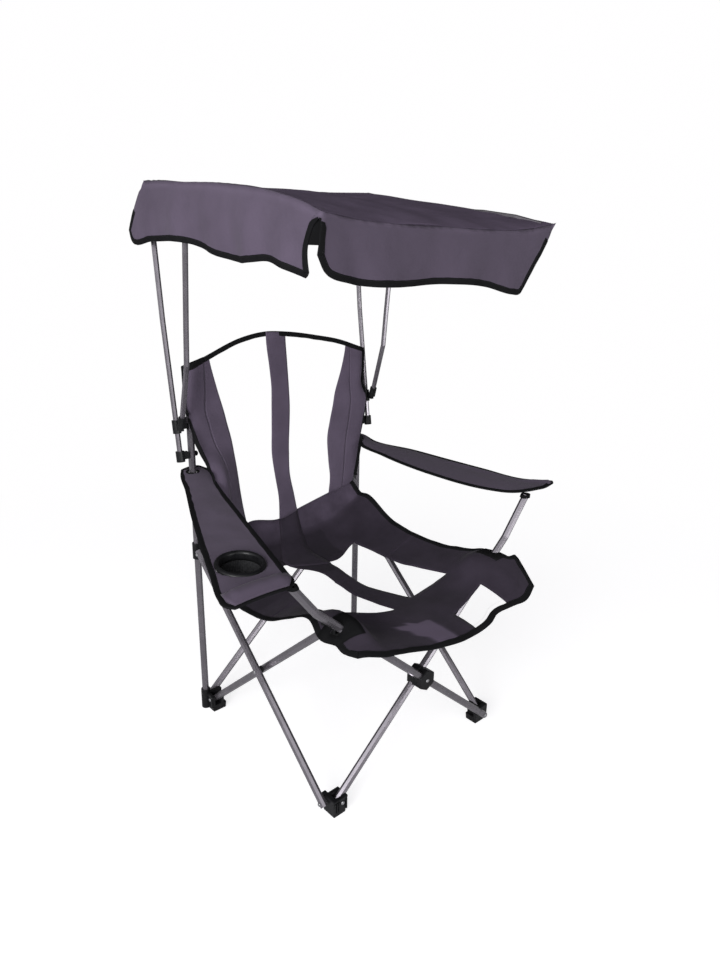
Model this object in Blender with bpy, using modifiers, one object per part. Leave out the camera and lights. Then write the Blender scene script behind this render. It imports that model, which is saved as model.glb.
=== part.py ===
"""Folding chair with a canopy: crossing steel tubes on black corner mouldings, a cloth sling and armrests.

The chair faces -Y, Z is up and "left" is the -X side, where the cup holder is. Lengths are in metres.
"""
import math

import bmesh
import bpy
import numpy as np
from mathutils import Matrix, Vector

for old in list(bpy.data.objects):
    bpy.data.objects.remove(old, do_unlink=True)

# Clearance between neighbours, and how far a cut runs past what it cuts
GAP = 0.0003
OVERRUN = 0.1

# Tubes of the folding frame
TUBE_RADIUS = 0.009
TUBE_WALL = 0.0012
TUBE_SIDES = 12
LEG_HALF_SPACING = 0.246
LOW_PIVOT_HEIGHT = 0.034
HIGH_PIVOT_HEIGHT = 0.472
SIDE_WALL = 0.0035
TUBE_SPACING = 0.004
ARM_TURN = math.radians(10.5)
ARM_BEND_RADIUS = 0.04
LEFT_ARM_STRAIGHT = 0.106
RIGHT_ARM_STRAIGHT = 0.079

# Upright posts at the back
POST_STANDOFF = 0.0085
POST_RISE = 0.138
SOCKET_FLOOR = 0.010

# Rivets
PIN_RADIUS = 0.0021
HEAD_RADIUS = 0.0048
HEAD_HEIGHT = 0.0021
FLAT_HEAD_HEIGHT = 0.0012
BLIND_WALL = 0.0015

# Black corner mouldings
CHEEK_THICK = 0.0081
WALL_THICK = 0.0102
MOULDING_BACK = 0.016
MOULDING_EDGE = 0.0020
SLOT_CLEARANCE = 0.0013
SLOT_STEP = 0.0005
FOOT_ABOVE = 0.014
FOOT_TAPER_SHARE = 0.82
THIN_SIDE_DROP = 0.002
HUB_BACK = 0.013
HUB_BELOW = 0.018
HUB_ABOVE = 0.013
HUB_LEDGE = 0.0012
SOCKET_ABOVE = 0.008
SLEEVE_WALL = 0.0030
SLEEVE_CLEARANCE = 0.0004
SLEEVE_BELOW = 0.004
SLEEVE_ABOVE = 0.007
RIB_WIDTH = 0.003
RIB_HEIGHT = 0.0014
RIB_ROOT = 0.004
RIB_BOTTOM = 0.014
RIB_TOP_MARGIN = 0.006

# Cross hub of the front tubes and spacers of the others
CROSS_HUB_RADIUS = 0.027
CROSS_HUB_DEPTH = 0.012
CROSS_HUB_EDGE = 0.0016
SPACER_RADIUS = 0.0085

# Canopy poles, brackets and clamps
POLE_RADIUS = 0.0065
POLE_STANDOFF = 0.0345
BRACKET_RISE = 0.0486
BRACKET_WALL = 0.0038
BRACKET_BELOW = 0.006
BRACKET_ABOVE = 0.020
BOSS_HALF = 0.008
BOSS_ROOT = 0.003
BRACKET_PIN_RADIUS = 0.0030
KNOB_RADIUS = 0.0065
KNOB_LENGTH = 0.004
KNOB_DOME = 0.002
CLAMP_RISE = 0.0734
CLAMP_LENGTH = 0.032
CLAMP_WALL = 0.0035
FRONT_SOCKET_BELOW = 0.010
FRONT_SOCKET_ABOVE = 0.016
FRONT_FOOT_STEP = 0.0278
FRONT_FOOT_RISE = 0.013
WEB_HALF = 0.0045
WEB_BELOW = 0.006
WEB_ABOVE = 0.008
JAW_WALL = 0.0045
SADDLE_WALL = 0.0055
SADDLE_HEIGHT = 0.013
SADDLE_REACH = 0.006

# Cloth
CLOTH_THICK = 0.0022
SLEEVE_SLACK = 0.0031
SLEEVE_HEM = 0.020
SLEEVE_HEM_LIFT = 0.0045
SLEEVE_TOP_RISE = 0.004
HUB_COVER = 0.004
ARM_SLOT_CLEARANCE = 0.0045
ARM_SLOT_INSET = 0.008
CANOPY_SIDE_OVERHANG = 0.023
CANOPY_DEPTH = 0.606
CANOPY_RISE = 0.6164
CANOPY_FOLD = 0.008
ARM_CLOTH_THICK = 0.0040
ARM_REST_RISE = 0.208
ARM_REST_SLOPE = 0.098
POST_HOLE_CLEARANCE = 0.0010
HOOK_CLEARANCE = 0.0035

# Cup holder
CUP_RING_RADIUS = 0.049
CUP_RING_WALL = 0.0065
CUP_RING_DEPTH = 0.007
CUP_RING_EDGE = 0.0015
BAG_DEPTH = 0.055
BAG_BOTTOM_RADIUS = 0.035
BAG_CORNER = 0.005
BAG_LIP = 0.003
BAG_THICK = 0.0012

# Sizes that follow
D, LOW, HIGH = LEG_HALF_SPACING, LOW_PIVOT_HEIGHT, HIGH_PIVOT_HEIGHT
MID = (LOW + HIGH) / 2
TUBE_ANGLE = math.atan2(HIGH - LOW, 2 * D)
PIVOT_SPAN = math.hypot(HIGH - LOW, 2 * D)
INNER_LAYER = TUBE_RADIUS + SIDE_WALL
OUTER_LAYER = INNER_LAYER + 2 * TUBE_RADIUS + TUBE_SPACING
P = D + 2 * TUBE_RADIUS + POST_STANDOFF
ARM_REST_HEIGHT = HIGH + ARM_REST_RISE
BRACKET_HEIGHT = ARM_REST_HEIGHT + BRACKET_RISE
CLAMP_HEIGHT = BRACKET_HEIGHT + CLAMP_RISE
POST_TOP = CLAMP_HEIGHT + POST_RISE
POLE_X = P + POLE_STANDOFF
CANOPY_HALF_WIDTH = POLE_X + CANOPY_SIDE_OVERHANG
FOOT_HEIGHT = LOW + FOOT_ABOVE
FOOT_BASE = LOW - math.hypot(TUBE_RADIUS, TUBE_RADIUS) - SLOT_CLEARANCE

chair = bpy.data.collections.new("canopy folding chair")
cutting = bpy.data.collections.new("cutting shapes")
bpy.context.scene.collection.children.link(chair)
bpy.context.scene.collection.children.link(cutting)

GREY = (0.20, 0.19, 0.22)
BLACK = (0.015, 0.015, 0.017)
SILVER = (0.62, 0.62, 0.64)
PURPLE_GREY = (0.115, 0.090, 0.130)


def paint(thing, colour, metallic=0.0, roughness=0.5):
    material = bpy.data.materials.new(thing.name)
    material.use_nodes = True
    shader = material.node_tree.nodes["Principled BSDF"]
    shader.inputs["Base Color"].default_value = (*colour, 1.0)
    shader.inputs["Metallic"].default_value = metallic
    shader.inputs["Roughness"].default_value = roughness
    thing.data.materials.clear()
    thing.data.materials.append(material)


# Empties on the joint axes, at their place in the standing chair
place_of = {}


def hinge(name, parent, point):
    empty = bpy.data.objects.new(name, None)
    empty.empty_display_size = TUBE_RADIUS
    chair.objects.link(empty)
    place_of[name] = Vector(point)
    if parent:
        empty.parent = bpy.data.objects[parent]
        empty.location = place_of[name] - place_of[parent]
    return empty


def seat_on(thing, carrier, point=(0, 0, 0), turn=(0, 0, 0)):
    thing.parent = bpy.data.objects[carrier]
    thing.location = Vector(point) - place_of[carrier]
    thing.rotation_euler = turn


def new_object(name, mesh, where=chair):
    thing = bpy.data.objects.new(name, mesh)
    where.objects.link(thing)
    return thing


def turned(axis, along):
    across = Vector(axis).cross(Vector(along))
    return Matrix((across, Vector(axis), Vector(along))).transposed().to_euler()


def solid_shapes(name, shapes, where=chair):
    """One mesh of blocks (low corner, high corner) and drums (start, end, radius, sides)."""
    bm = bmesh.new()
    for shape in shapes:
        if len(shape) == 2:
            low, high = Vector(shape[0]), Vector(shape[1])
            size = high - low
            matrix = Matrix.Translation((low + high) / 2) @ Matrix.Diagonal((*size, 1.0))
            bmesh.ops.create_cube(bm, size=1.0, matrix=matrix)
        else:
            start, end, radius, sides = Vector(shape[0]), Vector(shape[1]), shape[2], shape[3]
            along = end - start
            matrix = Matrix.Translation((start + end) / 2) @ along.to_track_quat("Z", "Y").to_matrix().to_4x4()
            bmesh.ops.create_cone(bm, cap_ends=True, segments=sides, radius1=radius, radius2=radius,
                                  depth=along.length, matrix=matrix)
    mesh = bpy.data.meshes.new(name)
    bm.to_mesh(mesh)
    bm.free()
    return new_object(name, mesh, where)


def combine(thing, shapes, operation, label):
    other = solid_shapes(thing.name + "_" + label, shapes, cutting)
    other.parent = thing
    other.hide_render = True
    other.display_type = "WIRE"
    step = thing.modifiers.new(label, "BOOLEAN")
    step.operation = operation
    step.solver = "EXACT"
    step.object = other


def soften(thing, width, segments=1):
    bevel = thing.modifiers.new("softened edges", "BEVEL")
    bevel.width = width
    bevel.segments = segments
    bevel.limit_method = "ANGLE"


def shade_round(mesh, angle=math.radians(35)):
    bm = bmesh.new()
    bm.from_mesh(mesh)
    for face in bm.faces:
        face.smooth = True
    for edge in bm.edges:
        edge.smooth = not (edge.is_manifold and edge.calc_face_angle(0.0) > angle)
    bm.to_mesh(mesh)
    bm.free()


def rod(name, points, radius, wall=0.0, sides=TUBE_SIDES):
    """A round bar along the points, or an open tube where it has a wall."""
    curve = bpy.data.curves.new(name, "CURVE")
    curve.dimensions = "3D"
    line = curve.splines.new("POLY")
    line.points.add(len(points) - 1)
    for spot, point in zip(line.points, points):
        spot.co = (*point, 1.0)
    curve.bevel_depth = radius
    curve.bevel_resolution = sides // 4 - 1
    curve.use_fill_caps = wall == 0.0
    shape = new_object(name + "_line", curve)
    graph = bpy.context.evaluated_depsgraph_get()
    mesh = bpy.data.meshes.new_from_object(shape.evaluated_get(graph))
    mesh.name = name
    bpy.data.objects.remove(shape, do_unlink=True)
    bm = bmesh.new()
    bm.from_mesh(mesh)
    bmesh.ops.remove_doubles(bm, verts=bm.verts, dist=1e-6)
    bmesh.ops.recalc_face_normals(bm, faces=bm.faces)
    bm.to_mesh(mesh)
    bm.free()
    shade_round(mesh)
    thing = new_object(name, mesh)
    if wall:
        hollow = thing.modifiers.new("tube wall", "SOLIDIFY")
        hollow.thickness = wall
        hollow.offset = -1.0
        hollow.use_even_offset = True
    return thing


def turned_piece(name, outline, steps=12, flip=True):
    """A round piece turned about its own Z from (radius, height) points."""
    mesh = bpy.data.meshes.new(name)
    mesh.from_pydata([(r, 0, z) for r, z in outline], [(i, i + 1) for i in range(len(outline) - 1)], [])
    thing = new_object(name, mesh)
    spin = thing.modifiers.new("turning", "SCREW")
    spin.steps = steps
    spin.render_steps = steps
    spin.use_merge_vertices = True
    spin.merge_threshold = 0.00001
    spin.use_smooth_shade = True
    spin.use_normal_flip = flip
    return thing


def rivet(name, carrier, start, end, both_heads):
    """A pin from start to end with a domed head at the end and, where both_heads, a flat one at the start."""
    length = (Vector(end) - Vector(start)).length
    flat_radius, dome_radius = HEAD_RADIUS * 0.8, HEAD_RADIUS * 0.85
    tail = [(0, -FLAT_HEAD_HEIGHT), (flat_radius, -FLAT_HEAD_HEIGHT), (flat_radius, 0)] if both_heads else [(0, 0)]
    outline = tail + [(PIN_RADIUS, 0), (PIN_RADIUS, length), (HEAD_RADIUS, length),
                      (dome_radius, length + HEAD_HEIGHT * 0.6), (0, length + HEAD_HEIGHT)]
    thing = turned_piece(name, outline, 10)
    paint(thing, SILVER, 1.0, 0.3)
    direction = (Vector(end) - Vector(start)).normalized()
    seat_on(thing, carrier, start, direction.to_track_quat("Z", "Y").to_euler())
    return thing


# Joint axes, from the rear left foot outwards
hinge("chair_base", None, (0, 0, 0))
hinge("left_inner_axis", "chair_base", (-D - INNER_LAYER, D, LOW))
hinge("left_outer_axis", "left_inner_axis", (-D - OUTER_LAYER, 0, MID))
hinge("front_left_foot_axis", "left_outer_axis", (-D - OUTER_LAYER, -D, LOW))
hinge("front_left_hub_axis", "left_inner_axis", (-D - INNER_LAYER, -D, HIGH))
hinge("rear_left_hub_axis", "left_outer_axis", (-D - OUTER_LAYER, D, HIGH))
hinge("rear_outer_axis", "chair_base", (-D, D + OUTER_LAYER, LOW))
hinge("rear_inner_axis", "rear_outer_axis", (0, D + INNER_LAYER, MID))
hinge("rear_right_foot_axis", "rear_inner_axis", (D, D + INNER_LAYER, LOW))
hinge("rear_right_hub_axis", "rear_outer_axis", (D, D + OUTER_LAYER, HIGH))
hinge("right_outer_axis", "rear_right_foot_axis", (D + OUTER_LAYER, D, LOW))
hinge("right_inner_axis", "right_outer_axis", (D + INNER_LAYER, 0, MID))
hinge("front_right_foot_axis", "right_inner_axis", (D + INNER_LAYER, -D, LOW))
hinge("front_right_hub_axis", "right_outer_axis", (D + OUTER_LAYER, -D, HIGH))
hinge("front_inner_axis", "front_left_foot_axis", (-D, -D - INNER_LAYER, LOW))
hinge("front_outer_axis", "front_inner_axis", (0, -D - OUTER_LAYER, MID))
hinge("left_canopy_axis", "chair_base", (-P, P, BRACKET_HEIGHT))
hinge("right_canopy_axis", "rear_right_foot_axis", (P, P, BRACKET_HEIGHT))

# Diagonal tubes, each from its low pivot to its high one
run, rise = math.cos(TUBE_ANGLE), math.sin(TUBE_ANGLE)
straight = [(0, 0, -TUBE_RADIUS), (0, 0, PIVOT_SPAN + TUBE_RADIUS)]
left_arm_y, right_arm_y = -D - OUTER_LAYER, -D - INNER_LAYER


def arm_height(y):
    return ARM_REST_HEIGHT + ARM_REST_SLOPE * (y - P)


def arm_line(straight_on, tube_y):
    """The tube's line through both pivots, on past the hub, round the bend and up to the armrest's underside."""
    steep = TUBE_ANGLE + ARM_TURN
    cloth_below = (ARM_CLOTH_THICK / 2 + GAP) * math.hypot(1, ARM_REST_SLOPE)
    top = arm_height(tube_y) - cloth_below - TUBE_RADIUS * math.hypot(math.cos(steep), ARM_REST_SLOPE)
    length = (top - HIGH - straight_on * rise) / math.sin(steep)
    line = [(0, 0, -TUBE_RADIUS)]
    reach = ARM_BEND_RADIUS * math.tan(ARM_TURN / 2)
    bend = PIVOT_SPAN + straight_on
    for i in range(4):
        angle = ARM_TURN * i / 3
        line.append((-ARM_BEND_RADIUS * (1 - math.cos(angle)), 0, bend - reach + ARM_BEND_RADIUS * math.sin(angle)))
    line.append((-length * math.sin(ARM_TURN), 0, bend + length * math.cos(ARM_TURN)))
    return line


tubes = [
    ("left_tube_inner", "left_inner_axis", (-D - INNER_LAYER, D, LOW), (1, 0, 0), (0, -run, rise), straight),
    ("left_tube_outer", "left_outer_axis", (-D - OUTER_LAYER, -D, LOW), (1, 0, 0), (0, run, rise), straight),
    ("right_tube_outer", "right_outer_axis", (D + OUTER_LAYER, D, LOW), (1, 0, 0), (0, -run, rise), straight),
    ("right_tube_inner", "right_inner_axis", (D + INNER_LAYER, -D, LOW), (1, 0, 0), (0, run, rise), straight),
    ("rear_tube_outer", "rear_outer_axis", (-D, D + OUTER_LAYER, LOW), (0, 1, 0), (run, 0, rise), straight),
    ("rear_tube_inner", "rear_inner_axis", (D, D + INNER_LAYER, LOW), (0, -1, 0), (-run, 0, rise), straight),
    ("front_tube_right_arm", "front_inner_axis", (-D, right_arm_y, LOW), (0, 1, 0), (run, 0, rise),
     arm_line(RIGHT_ARM_STRAIGHT, right_arm_y)),
    ("front_tube_left_arm", "front_outer_axis", (D, left_arm_y, LOW), (0, -1, 0), (-run, 0, rise),
     arm_line(LEFT_ARM_STRAIGHT, left_arm_y)),
]
for name, carrier, point, axis, along, line in tubes:
    tube = rod(name, line, TUBE_RADIUS, TUBE_WALL)
    holes = [((0, -2 * TUBE_RADIUS, z), (0, 2 * TUBE_RADIUS, z), PIN_RADIUS + GAP, 8)
             for z in (0, PIVOT_SPAN / 2, PIVOT_SPAN)]
    combine(tube, holes, "DIFFERENCE", "rivet_holes")
    paint(tube, GREY, 0.6, 0.38)
    seat_on(tube, carrier, point, turned(axis, along))

# Upright posts
for side, sign, carrier in (("left", -1, "chair_base"), ("right", 1, "rear_right_foot_axis")):
    post = rod("post_" + side, [(0, 0, SOCKET_FLOOR + GAP), (0, 0, POST_TOP)], TUBE_RADIUS, TUBE_WALL)
    combine(post, [((-2 * TUBE_RADIUS, 0, BRACKET_HEIGHT), (2 * TUBE_RADIUS, 0, BRACKET_HEIGHT),
                    BRACKET_PIN_RADIUS + GAP, 8)], "DIFFERENCE", "pin_hole")
    paint(post, GREY, 0.6, 0.38)
    seat_on(post, carrier, (sign * P, P, 0))

# Corner mouldings: X runs out past the outer tube's wall and Y out past the inner tube's cheek
WALL_FACE = OUTER_LAYER - TUBE_RADIUS - GAP
WALL_BACK = WALL_FACE - WALL_THICK
INNER_FACE = INNER_LAYER - TUBE_RADIUS - 1.2 * GAP
OUTER_FACE = INNER_LAYER + TUBE_RADIUS + 1.2 * GAP
CHEEK_FACE = OUTER_FACE + CHEEK_THICK
THIN_CHEEK = INNER_FACE - CHEEK_THICK
SOCKET_RADIUS = TUBE_RADIUS + GAP + SLEEVE_WALL
POST_OFFSET = P - D
RIVET_HOLE = PIN_RADIUS + GAP


def corner_rivets(kind, name, carrier, corner, height, quarter, cheek_sign):
    """The two rivets of a corner moulding: through its clevis, and through the tube on its outside face."""
    base = Vector((*corner, height))
    spin = Matrix.Rotation(math.radians(quarter), 3, "Z")
    ends = (("inner", (0, cheek_sign * (THIN_CHEEK - GAP), 0), (0, cheek_sign * (CHEEK_FACE + GAP), 0), True),
            ("outer", (WALL_BACK + BLIND_WALL + GAP, 0, 0), (OUTER_LAYER + TUBE_RADIUS + GAP, 0, 0), False))
    for label, start, end, both in ends:
        rivet(name.replace(kind, kind + "_rivet") + "_" + label, carrier, base + spin @ Vector(start),
              base + spin @ Vector(end), both)


feet = [("foot_rear_right", "rear_right_foot_axis", (D, D), 0, True),
        ("foot_rear_left", "chair_base", (-D, D), 90, True),
        ("foot_front_left", "front_left_foot_axis", (-D, -D), 180, False),
        ("foot_front_right", "front_right_foot_axis", (D, -D), 270, False)]
rib_place_shares = (-0.50, 0.34, 0.575, 0.81)
for name, carrier, corner, quarter, holds_post in feet:
    foot = solid_shapes(name, [((-MOULDING_BACK, -MOULDING_BACK, 0), (WALL_FACE, CHEEK_FACE, FOOT_HEIGHT))])
    centre = ((WALL_FACE - MOULDING_BACK) / 2, (CHEEK_FACE - MOULDING_BACK) / 2)
    for vertex in foot.data.vertices:
        if vertex.co.z < FOOT_BASE:
            vertex.co.x = centre[0] + (vertex.co.x - centre[0]) * FOOT_TAPER_SHARE
            vertex.co.y = centre[1] + (vertex.co.y - centre[1]) * FOOT_TAPER_SHARE
    soften(foot, MOULDING_EDGE, 2)
    combine(foot, [((-OVERRUN, INNER_FACE, FOOT_BASE), (WALL_BACK, OUTER_FACE, OVERRUN)),
                   ((-OVERRUN, -OVERRUN, FOOT_BASE - THIN_SIDE_DROP), (WALL_BACK - SLOT_STEP, THIN_CHEEK, OVERRUN))],
            "DIFFERENCE", "tube_slot")
    ribs = [((share * WALL_FACE, CHEEK_FACE - RIB_ROOT, RIB_BOTTOM),
             (share * WALL_FACE + RIB_WIDTH, CHEEK_FACE + RIB_HEIGHT, FOOT_HEIGHT - RIB_TOP_MARGIN))
            for share in rib_place_shares]
    if holds_post:
        socket = (POST_OFFSET, POST_OFFSET)
        combine(foot, [((*socket, SLOT_STEP), (*socket, FOOT_HEIGHT + SOCKET_ABOVE), SOCKET_RADIUS, 16)],
                "UNION", "post_socket")
        combine(foot, [((*socket, SOCKET_FLOOR), (*socket, OVERRUN), TUBE_RADIUS + GAP, 16)],
                "DIFFERENCE", "post_bore")
        ribs = ribs[:1]
    combine(foot, ribs, "UNION", "ribs")
    combine(foot, [((0, -OVERRUN, LOW), (0, OVERRUN, LOW), RIVET_HOLE, 8),
                   ((WALL_BACK + BLIND_WALL, 0, LOW), (OVERRUN, 0, LOW), RIVET_HOLE, 8)], "DIFFERENCE", "rivet_holes")
    paint(foot, BLACK, 0.0, 0.25)
    seat_on(foot, carrier, (*corner, 0), (0, 0, math.radians(quarter)))
    corner_rivets("foot", name, carrier, corner, LOW, quarter, 1)

hubs = [("hub_front_right", "front_right_hub_axis", (D, -D), 0, False),
        ("hub_rear_right", "rear_right_hub_axis", (D, D), 90, True),
        ("hub_rear_left", "rear_left_hub_axis", (-D, D), 180, True),
        ("hub_front_left", "front_left_hub_axis", (-D, -D), 270, False)]
for name, carrier, corner, quarter, slides in hubs:
    hub = solid_shapes(name, [((-HUB_BACK, -CHEEK_FACE, -HUB_BELOW), (WALL_FACE, MOULDING_BACK, HUB_ABOVE))])
    soften(hub, MOULDING_EDGE, 2)
    combine(hub, [((-OVERRUN, -OUTER_FACE, -OVERRUN), (WALL_BACK, -INNER_FACE, -HUB_LEDGE)),
                  ((-OVERRUN, -THIN_CHEEK, -OVERRUN), (WALL_BACK - SLOT_STEP, OVERRUN, OVERRUN))],
            "DIFFERENCE", "tube_slot")
    combine(hub, [((-OVERRUN, -OUTER_FACE, -HUB_LEDGE - GAP), (OVERRUN, -INNER_FACE, OVERRUN))],
            "DIFFERENCE", "arm_slot")
    if slides:
        sleeve = (POST_OFFSET, -POST_OFFSET)
        combine(hub, [((*sleeve, -HUB_BELOW - SLEEVE_BELOW), (*sleeve, HUB_ABOVE + SLEEVE_ABOVE), SOCKET_RADIUS, 16)],
                "UNION", "sleeve")
        combine(hub, [((*sleeve, -OVERRUN), (*sleeve, OVERRUN), TUBE_RADIUS + SLEEVE_CLEARANCE, 16)],
                "DIFFERENCE", "post_bore")
    combine(hub, [((0, -OVERRUN, 0), (0, OVERRUN, 0), RIVET_HOLE, 8),
                  ((WALL_BACK + BLIND_WALL, 0, 0), (OVERRUN, 0, 0), RIVET_HOLE, 8)], "DIFFERENCE", "rivet_holes")
    paint(hub, BLACK, 0.0, 0.25)
    seat_on(hub, carrier, (*corner, HIGH), (0, 0, math.radians(quarter)))
    corner_rivets("hub", name, carrier, corner, HIGH, quarter, -1)

# Crossings of the side and rear tubes: a spacer between the two and a rivet through both
near_face = D + INNER_LAYER - TUBE_RADIUS - GAP
far_face = D + OUTER_LAYER + TUBE_RADIUS + GAP
spacer_from = D + INNER_LAYER + TUBE_RADIUS + GAP
spacer_to = D + OUTER_LAYER - TUBE_RADIUS - GAP
for side, carrier, outward in (("left", "left_inner_axis", (-1, 0, 0)), ("right", "right_inner_axis", (1, 0, 0)),
                               ("rear", "rear_inner_axis", (0, 1, 0))):
    out = Vector(outward)
    level = Vector((0, 0, MID))
    spacer = solid_shapes("spacer_" + side, [((0, 0, 0), (0, 0, spacer_to - spacer_from), SPACER_RADIUS, 16)])
    combine(spacer, [((0, 0, -OVERRUN), (0, 0, OVERRUN), RIVET_HOLE, 10)], "DIFFERENCE", "rivet_hole")
    paint(spacer, BLACK, 0.0, 0.3)
    seat_on(spacer, carrier, out * spacer_from + level, out.to_track_quat("Z", "Y").to_euler())
    rivet("crossing_rivet_" + side, carrier, out * near_face + level, out * far_face + level, True)

# Cross hub of the front tubes: a six-sided half on each
middle = -D - (INNER_LAYER + OUTER_LAYER) / 2
halves = [("cross_hub_inner", "front_inner_axis", right_arm_y + CROSS_HUB_DEPTH, middle + GAP / 2,
           right_arm_y, (run, 0, rise)),
          ("cross_hub_outer", "front_outer_axis", middle - GAP / 2, left_arm_y - CROSS_HUB_DEPTH,
           left_arm_y, (-run, 0, rise))]
for name, carrier, back, front, tube_y, along in halves:
    half = solid_shapes(name, [((0, back, MID), (0, front, MID), CROSS_HUB_RADIUS, 6)])
    soften(half, CROSS_HUB_EDGE, 1)
    tube_line = Vector(along) * OVERRUN
    at = Vector((0, tube_y, MID))
    combine(half, [(at - tube_line, at + tube_line, TUBE_RADIUS + GAP, 16)], "DIFFERENCE", "tube_bore")
    combine(half, [((0, -D - OVERRUN, MID), (0, -D + OVERRUN, MID), RIVET_HOLE, 8)], "DIFFERENCE", "rivet_hole")
    paint(half, BLACK, 0.0, 0.25)
    seat_on(half, carrier)
rivet("crossing_rivet_front", "front_inner_axis", (0, halves[0][2] + GAP, MID), (0, halves[1][3] - GAP, MID), True)


def canopy_place(x, share):
    """A point of the poles or the canopy, from its (back, up) shares of the canopy's depth and rise over the pins."""
    return (x, P + share[0] * CANOPY_DEPTH, BRACKET_HEIGHT + share[1] * CANOPY_RISE)


# Canopy poles with their brackets and clamps
rear_pole_shares = [(-0.0145, -0.0091), (0.0035, 0.1215), (0.0596, 0.5198), (0.0866, 0.7972), (0.0751, 0.8945),
                    (0.0396, 0.9919)]
front_pole_shares = [(-0.1069, 0.3689), (-0.1185, 0.5003), (-0.1470, 0.7899), (-0.1625, 0.9027), (-0.2104, 0.9400),
                     (-0.3672, 0.9384), (-0.6378, 0.9254), (-0.7929, 0.9059), (-0.9117, 0.8799)]
for side, sign, carrier, post_carrier in (("left", -1, "left_canopy_axis", "chair_base"),
                                          ("right", 1, "right_canopy_axis", "rear_right_foot_axis")):
    x = sign * POLE_X
    post_x = sign * P
    rear_line = [Vector(canopy_place(x, share)) for share in rear_pole_shares]
    lean = (rear_line[1] - rear_line[0]).normalized()
    rear_mid = rear_line[0] + lean * ((CLAMP_HEIGHT - rear_line[0].z) / lean.z)
    front_foot = rear_mid + Vector((0, -FRONT_FOOT_STEP, FRONT_FOOT_RISE))
    front_line = [front_foot] + [Vector(canopy_place(x, share)) for share in front_pole_shares]
    front_lean = (front_line[1] - front_line[0]).normalized()
    for label, line in (("rear", rear_line), ("front", front_line)):
        pole = rod("canopy_pole_%s_%s" % (label, side), line, POLE_RADIUS)
        paint(pole, GREY, 0.6, 0.38)
        seat_on(pole, carrier)

    def across(a, b):
        return (min(a, b), max(a, b))

    top_point = rear_line[0] + lean * BRACKET_ABOVE
    bracket = solid_shapes("bracket_" + side, [(rear_line[0] - lean * BRACKET_BELOW, top_point,
                                                POLE_RADIUS + BRACKET_WALL, 16)])
    low_x, high_x = across(post_x + sign * (TUBE_RADIUS + GAP), sign * (POLE_X - BOSS_ROOT))
    combine(bracket, [((low_x, P - BOSS_HALF, BRACKET_HEIGHT - BOSS_HALF),
                       (high_x, P + BOSS_HALF, BRACKET_HEIGHT + BOSS_HALF))], "UNION", "boss")
    combine(bracket, [(rear_line[0] - lean * GAP, top_point + lean * OVERRUN, POLE_RADIUS + GAP, 16)],
            "DIFFERENCE", "pole_bore")
    blind = sign * (POLE_X - POLE_RADIUS - GAP - BLIND_WALL)
    combine(bracket, [((post_x, P, BRACKET_HEIGHT), (blind, P, BRACKET_HEIGHT), BRACKET_PIN_RADIUS + GAP, 10)],
            "DIFFERENCE", "pin_bore")
    paint(bracket, BLACK, 0.0, 0.25)
    seat_on(bracket, carrier)

    knob_from = abs(blind - post_x) + TUBE_RADIUS
    pin = turned_piece("bracket_pin_" + side, [
        (0, 0), (BRACKET_PIN_RADIUS, 0), (BRACKET_PIN_RADIUS, knob_from), (KNOB_RADIUS, knob_from),
        (KNOB_RADIUS, knob_from + KNOB_LENGTH), (KNOB_RADIUS - KNOB_DOME, knob_from + KNOB_LENGTH + KNOB_DOME),
        (0, knob_from + KNOB_LENGTH + KNOB_DOME + GAP)], 12)
    paint(pin, BLACK, 0.0, 0.25)
    inward = Vector((-sign, 0, 0))
    seat_on(pin, post_carrier, (blind - sign * GAP, P, BRACKET_HEIGHT), inward.to_track_quat("Z", "Y").to_euler())

    half_clamp = lean * CLAMP_LENGTH / 2
    clamp = solid_shapes("clamp_" + side, [(rear_mid - half_clamp, rear_mid + half_clamp, POLE_RADIUS + CLAMP_WALL, 16)])
    combine(clamp, [(front_foot - front_lean * FRONT_SOCKET_BELOW, front_foot + front_lean * FRONT_SOCKET_ABOVE,
                     POLE_RADIUS + CLAMP_WALL - SLOT_STEP, 16)], "UNION", "front_socket")
    combine(clamp, [((x - WEB_HALF, front_foot.y, CLAMP_HEIGHT - WEB_BELOW),
                     (x + WEB_HALF, rear_mid.y, CLAMP_HEIGHT + WEB_ABOVE))], "UNION", "web")
    low_x, high_x = across(sign * (POLE_X - BOSS_ROOT), post_x - sign * (TUBE_RADIUS + JAW_WALL))
    combine(clamp, [((low_x, P - SADDLE_REACH, CLAMP_HEIGHT - SADDLE_HEIGHT / 2),
                     (high_x, P + TUBE_RADIUS + SADDLE_WALL, CLAMP_HEIGHT + SADDLE_HEIGHT / 2))], "UNION", "saddle")
    combine(clamp, [((post_x - TUBE_RADIUS - GAP, P - OVERRUN, CLAMP_HEIGHT - OVERRUN),
                     (post_x + TUBE_RADIUS + GAP, P + TUBE_RADIUS + GAP, CLAMP_HEIGHT + OVERRUN))],
            "DIFFERENCE", "post_channel")
    combine(clamp, [(rear_mid - lean * OVERRUN, rear_mid + lean * OVERRUN, POLE_RADIUS + GAP, 16)],
            "DIFFERENCE", "rear_bore")
    combine(clamp, [(front_foot - front_lean * GAP, front_foot + front_lean * OVERRUN, POLE_RADIUS + GAP, 16)],
            "DIFFERENCE", "front_bore")
    paint(clamp, BLACK, 0.0, 0.25)
    seat_on(clamp, carrier)


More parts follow.
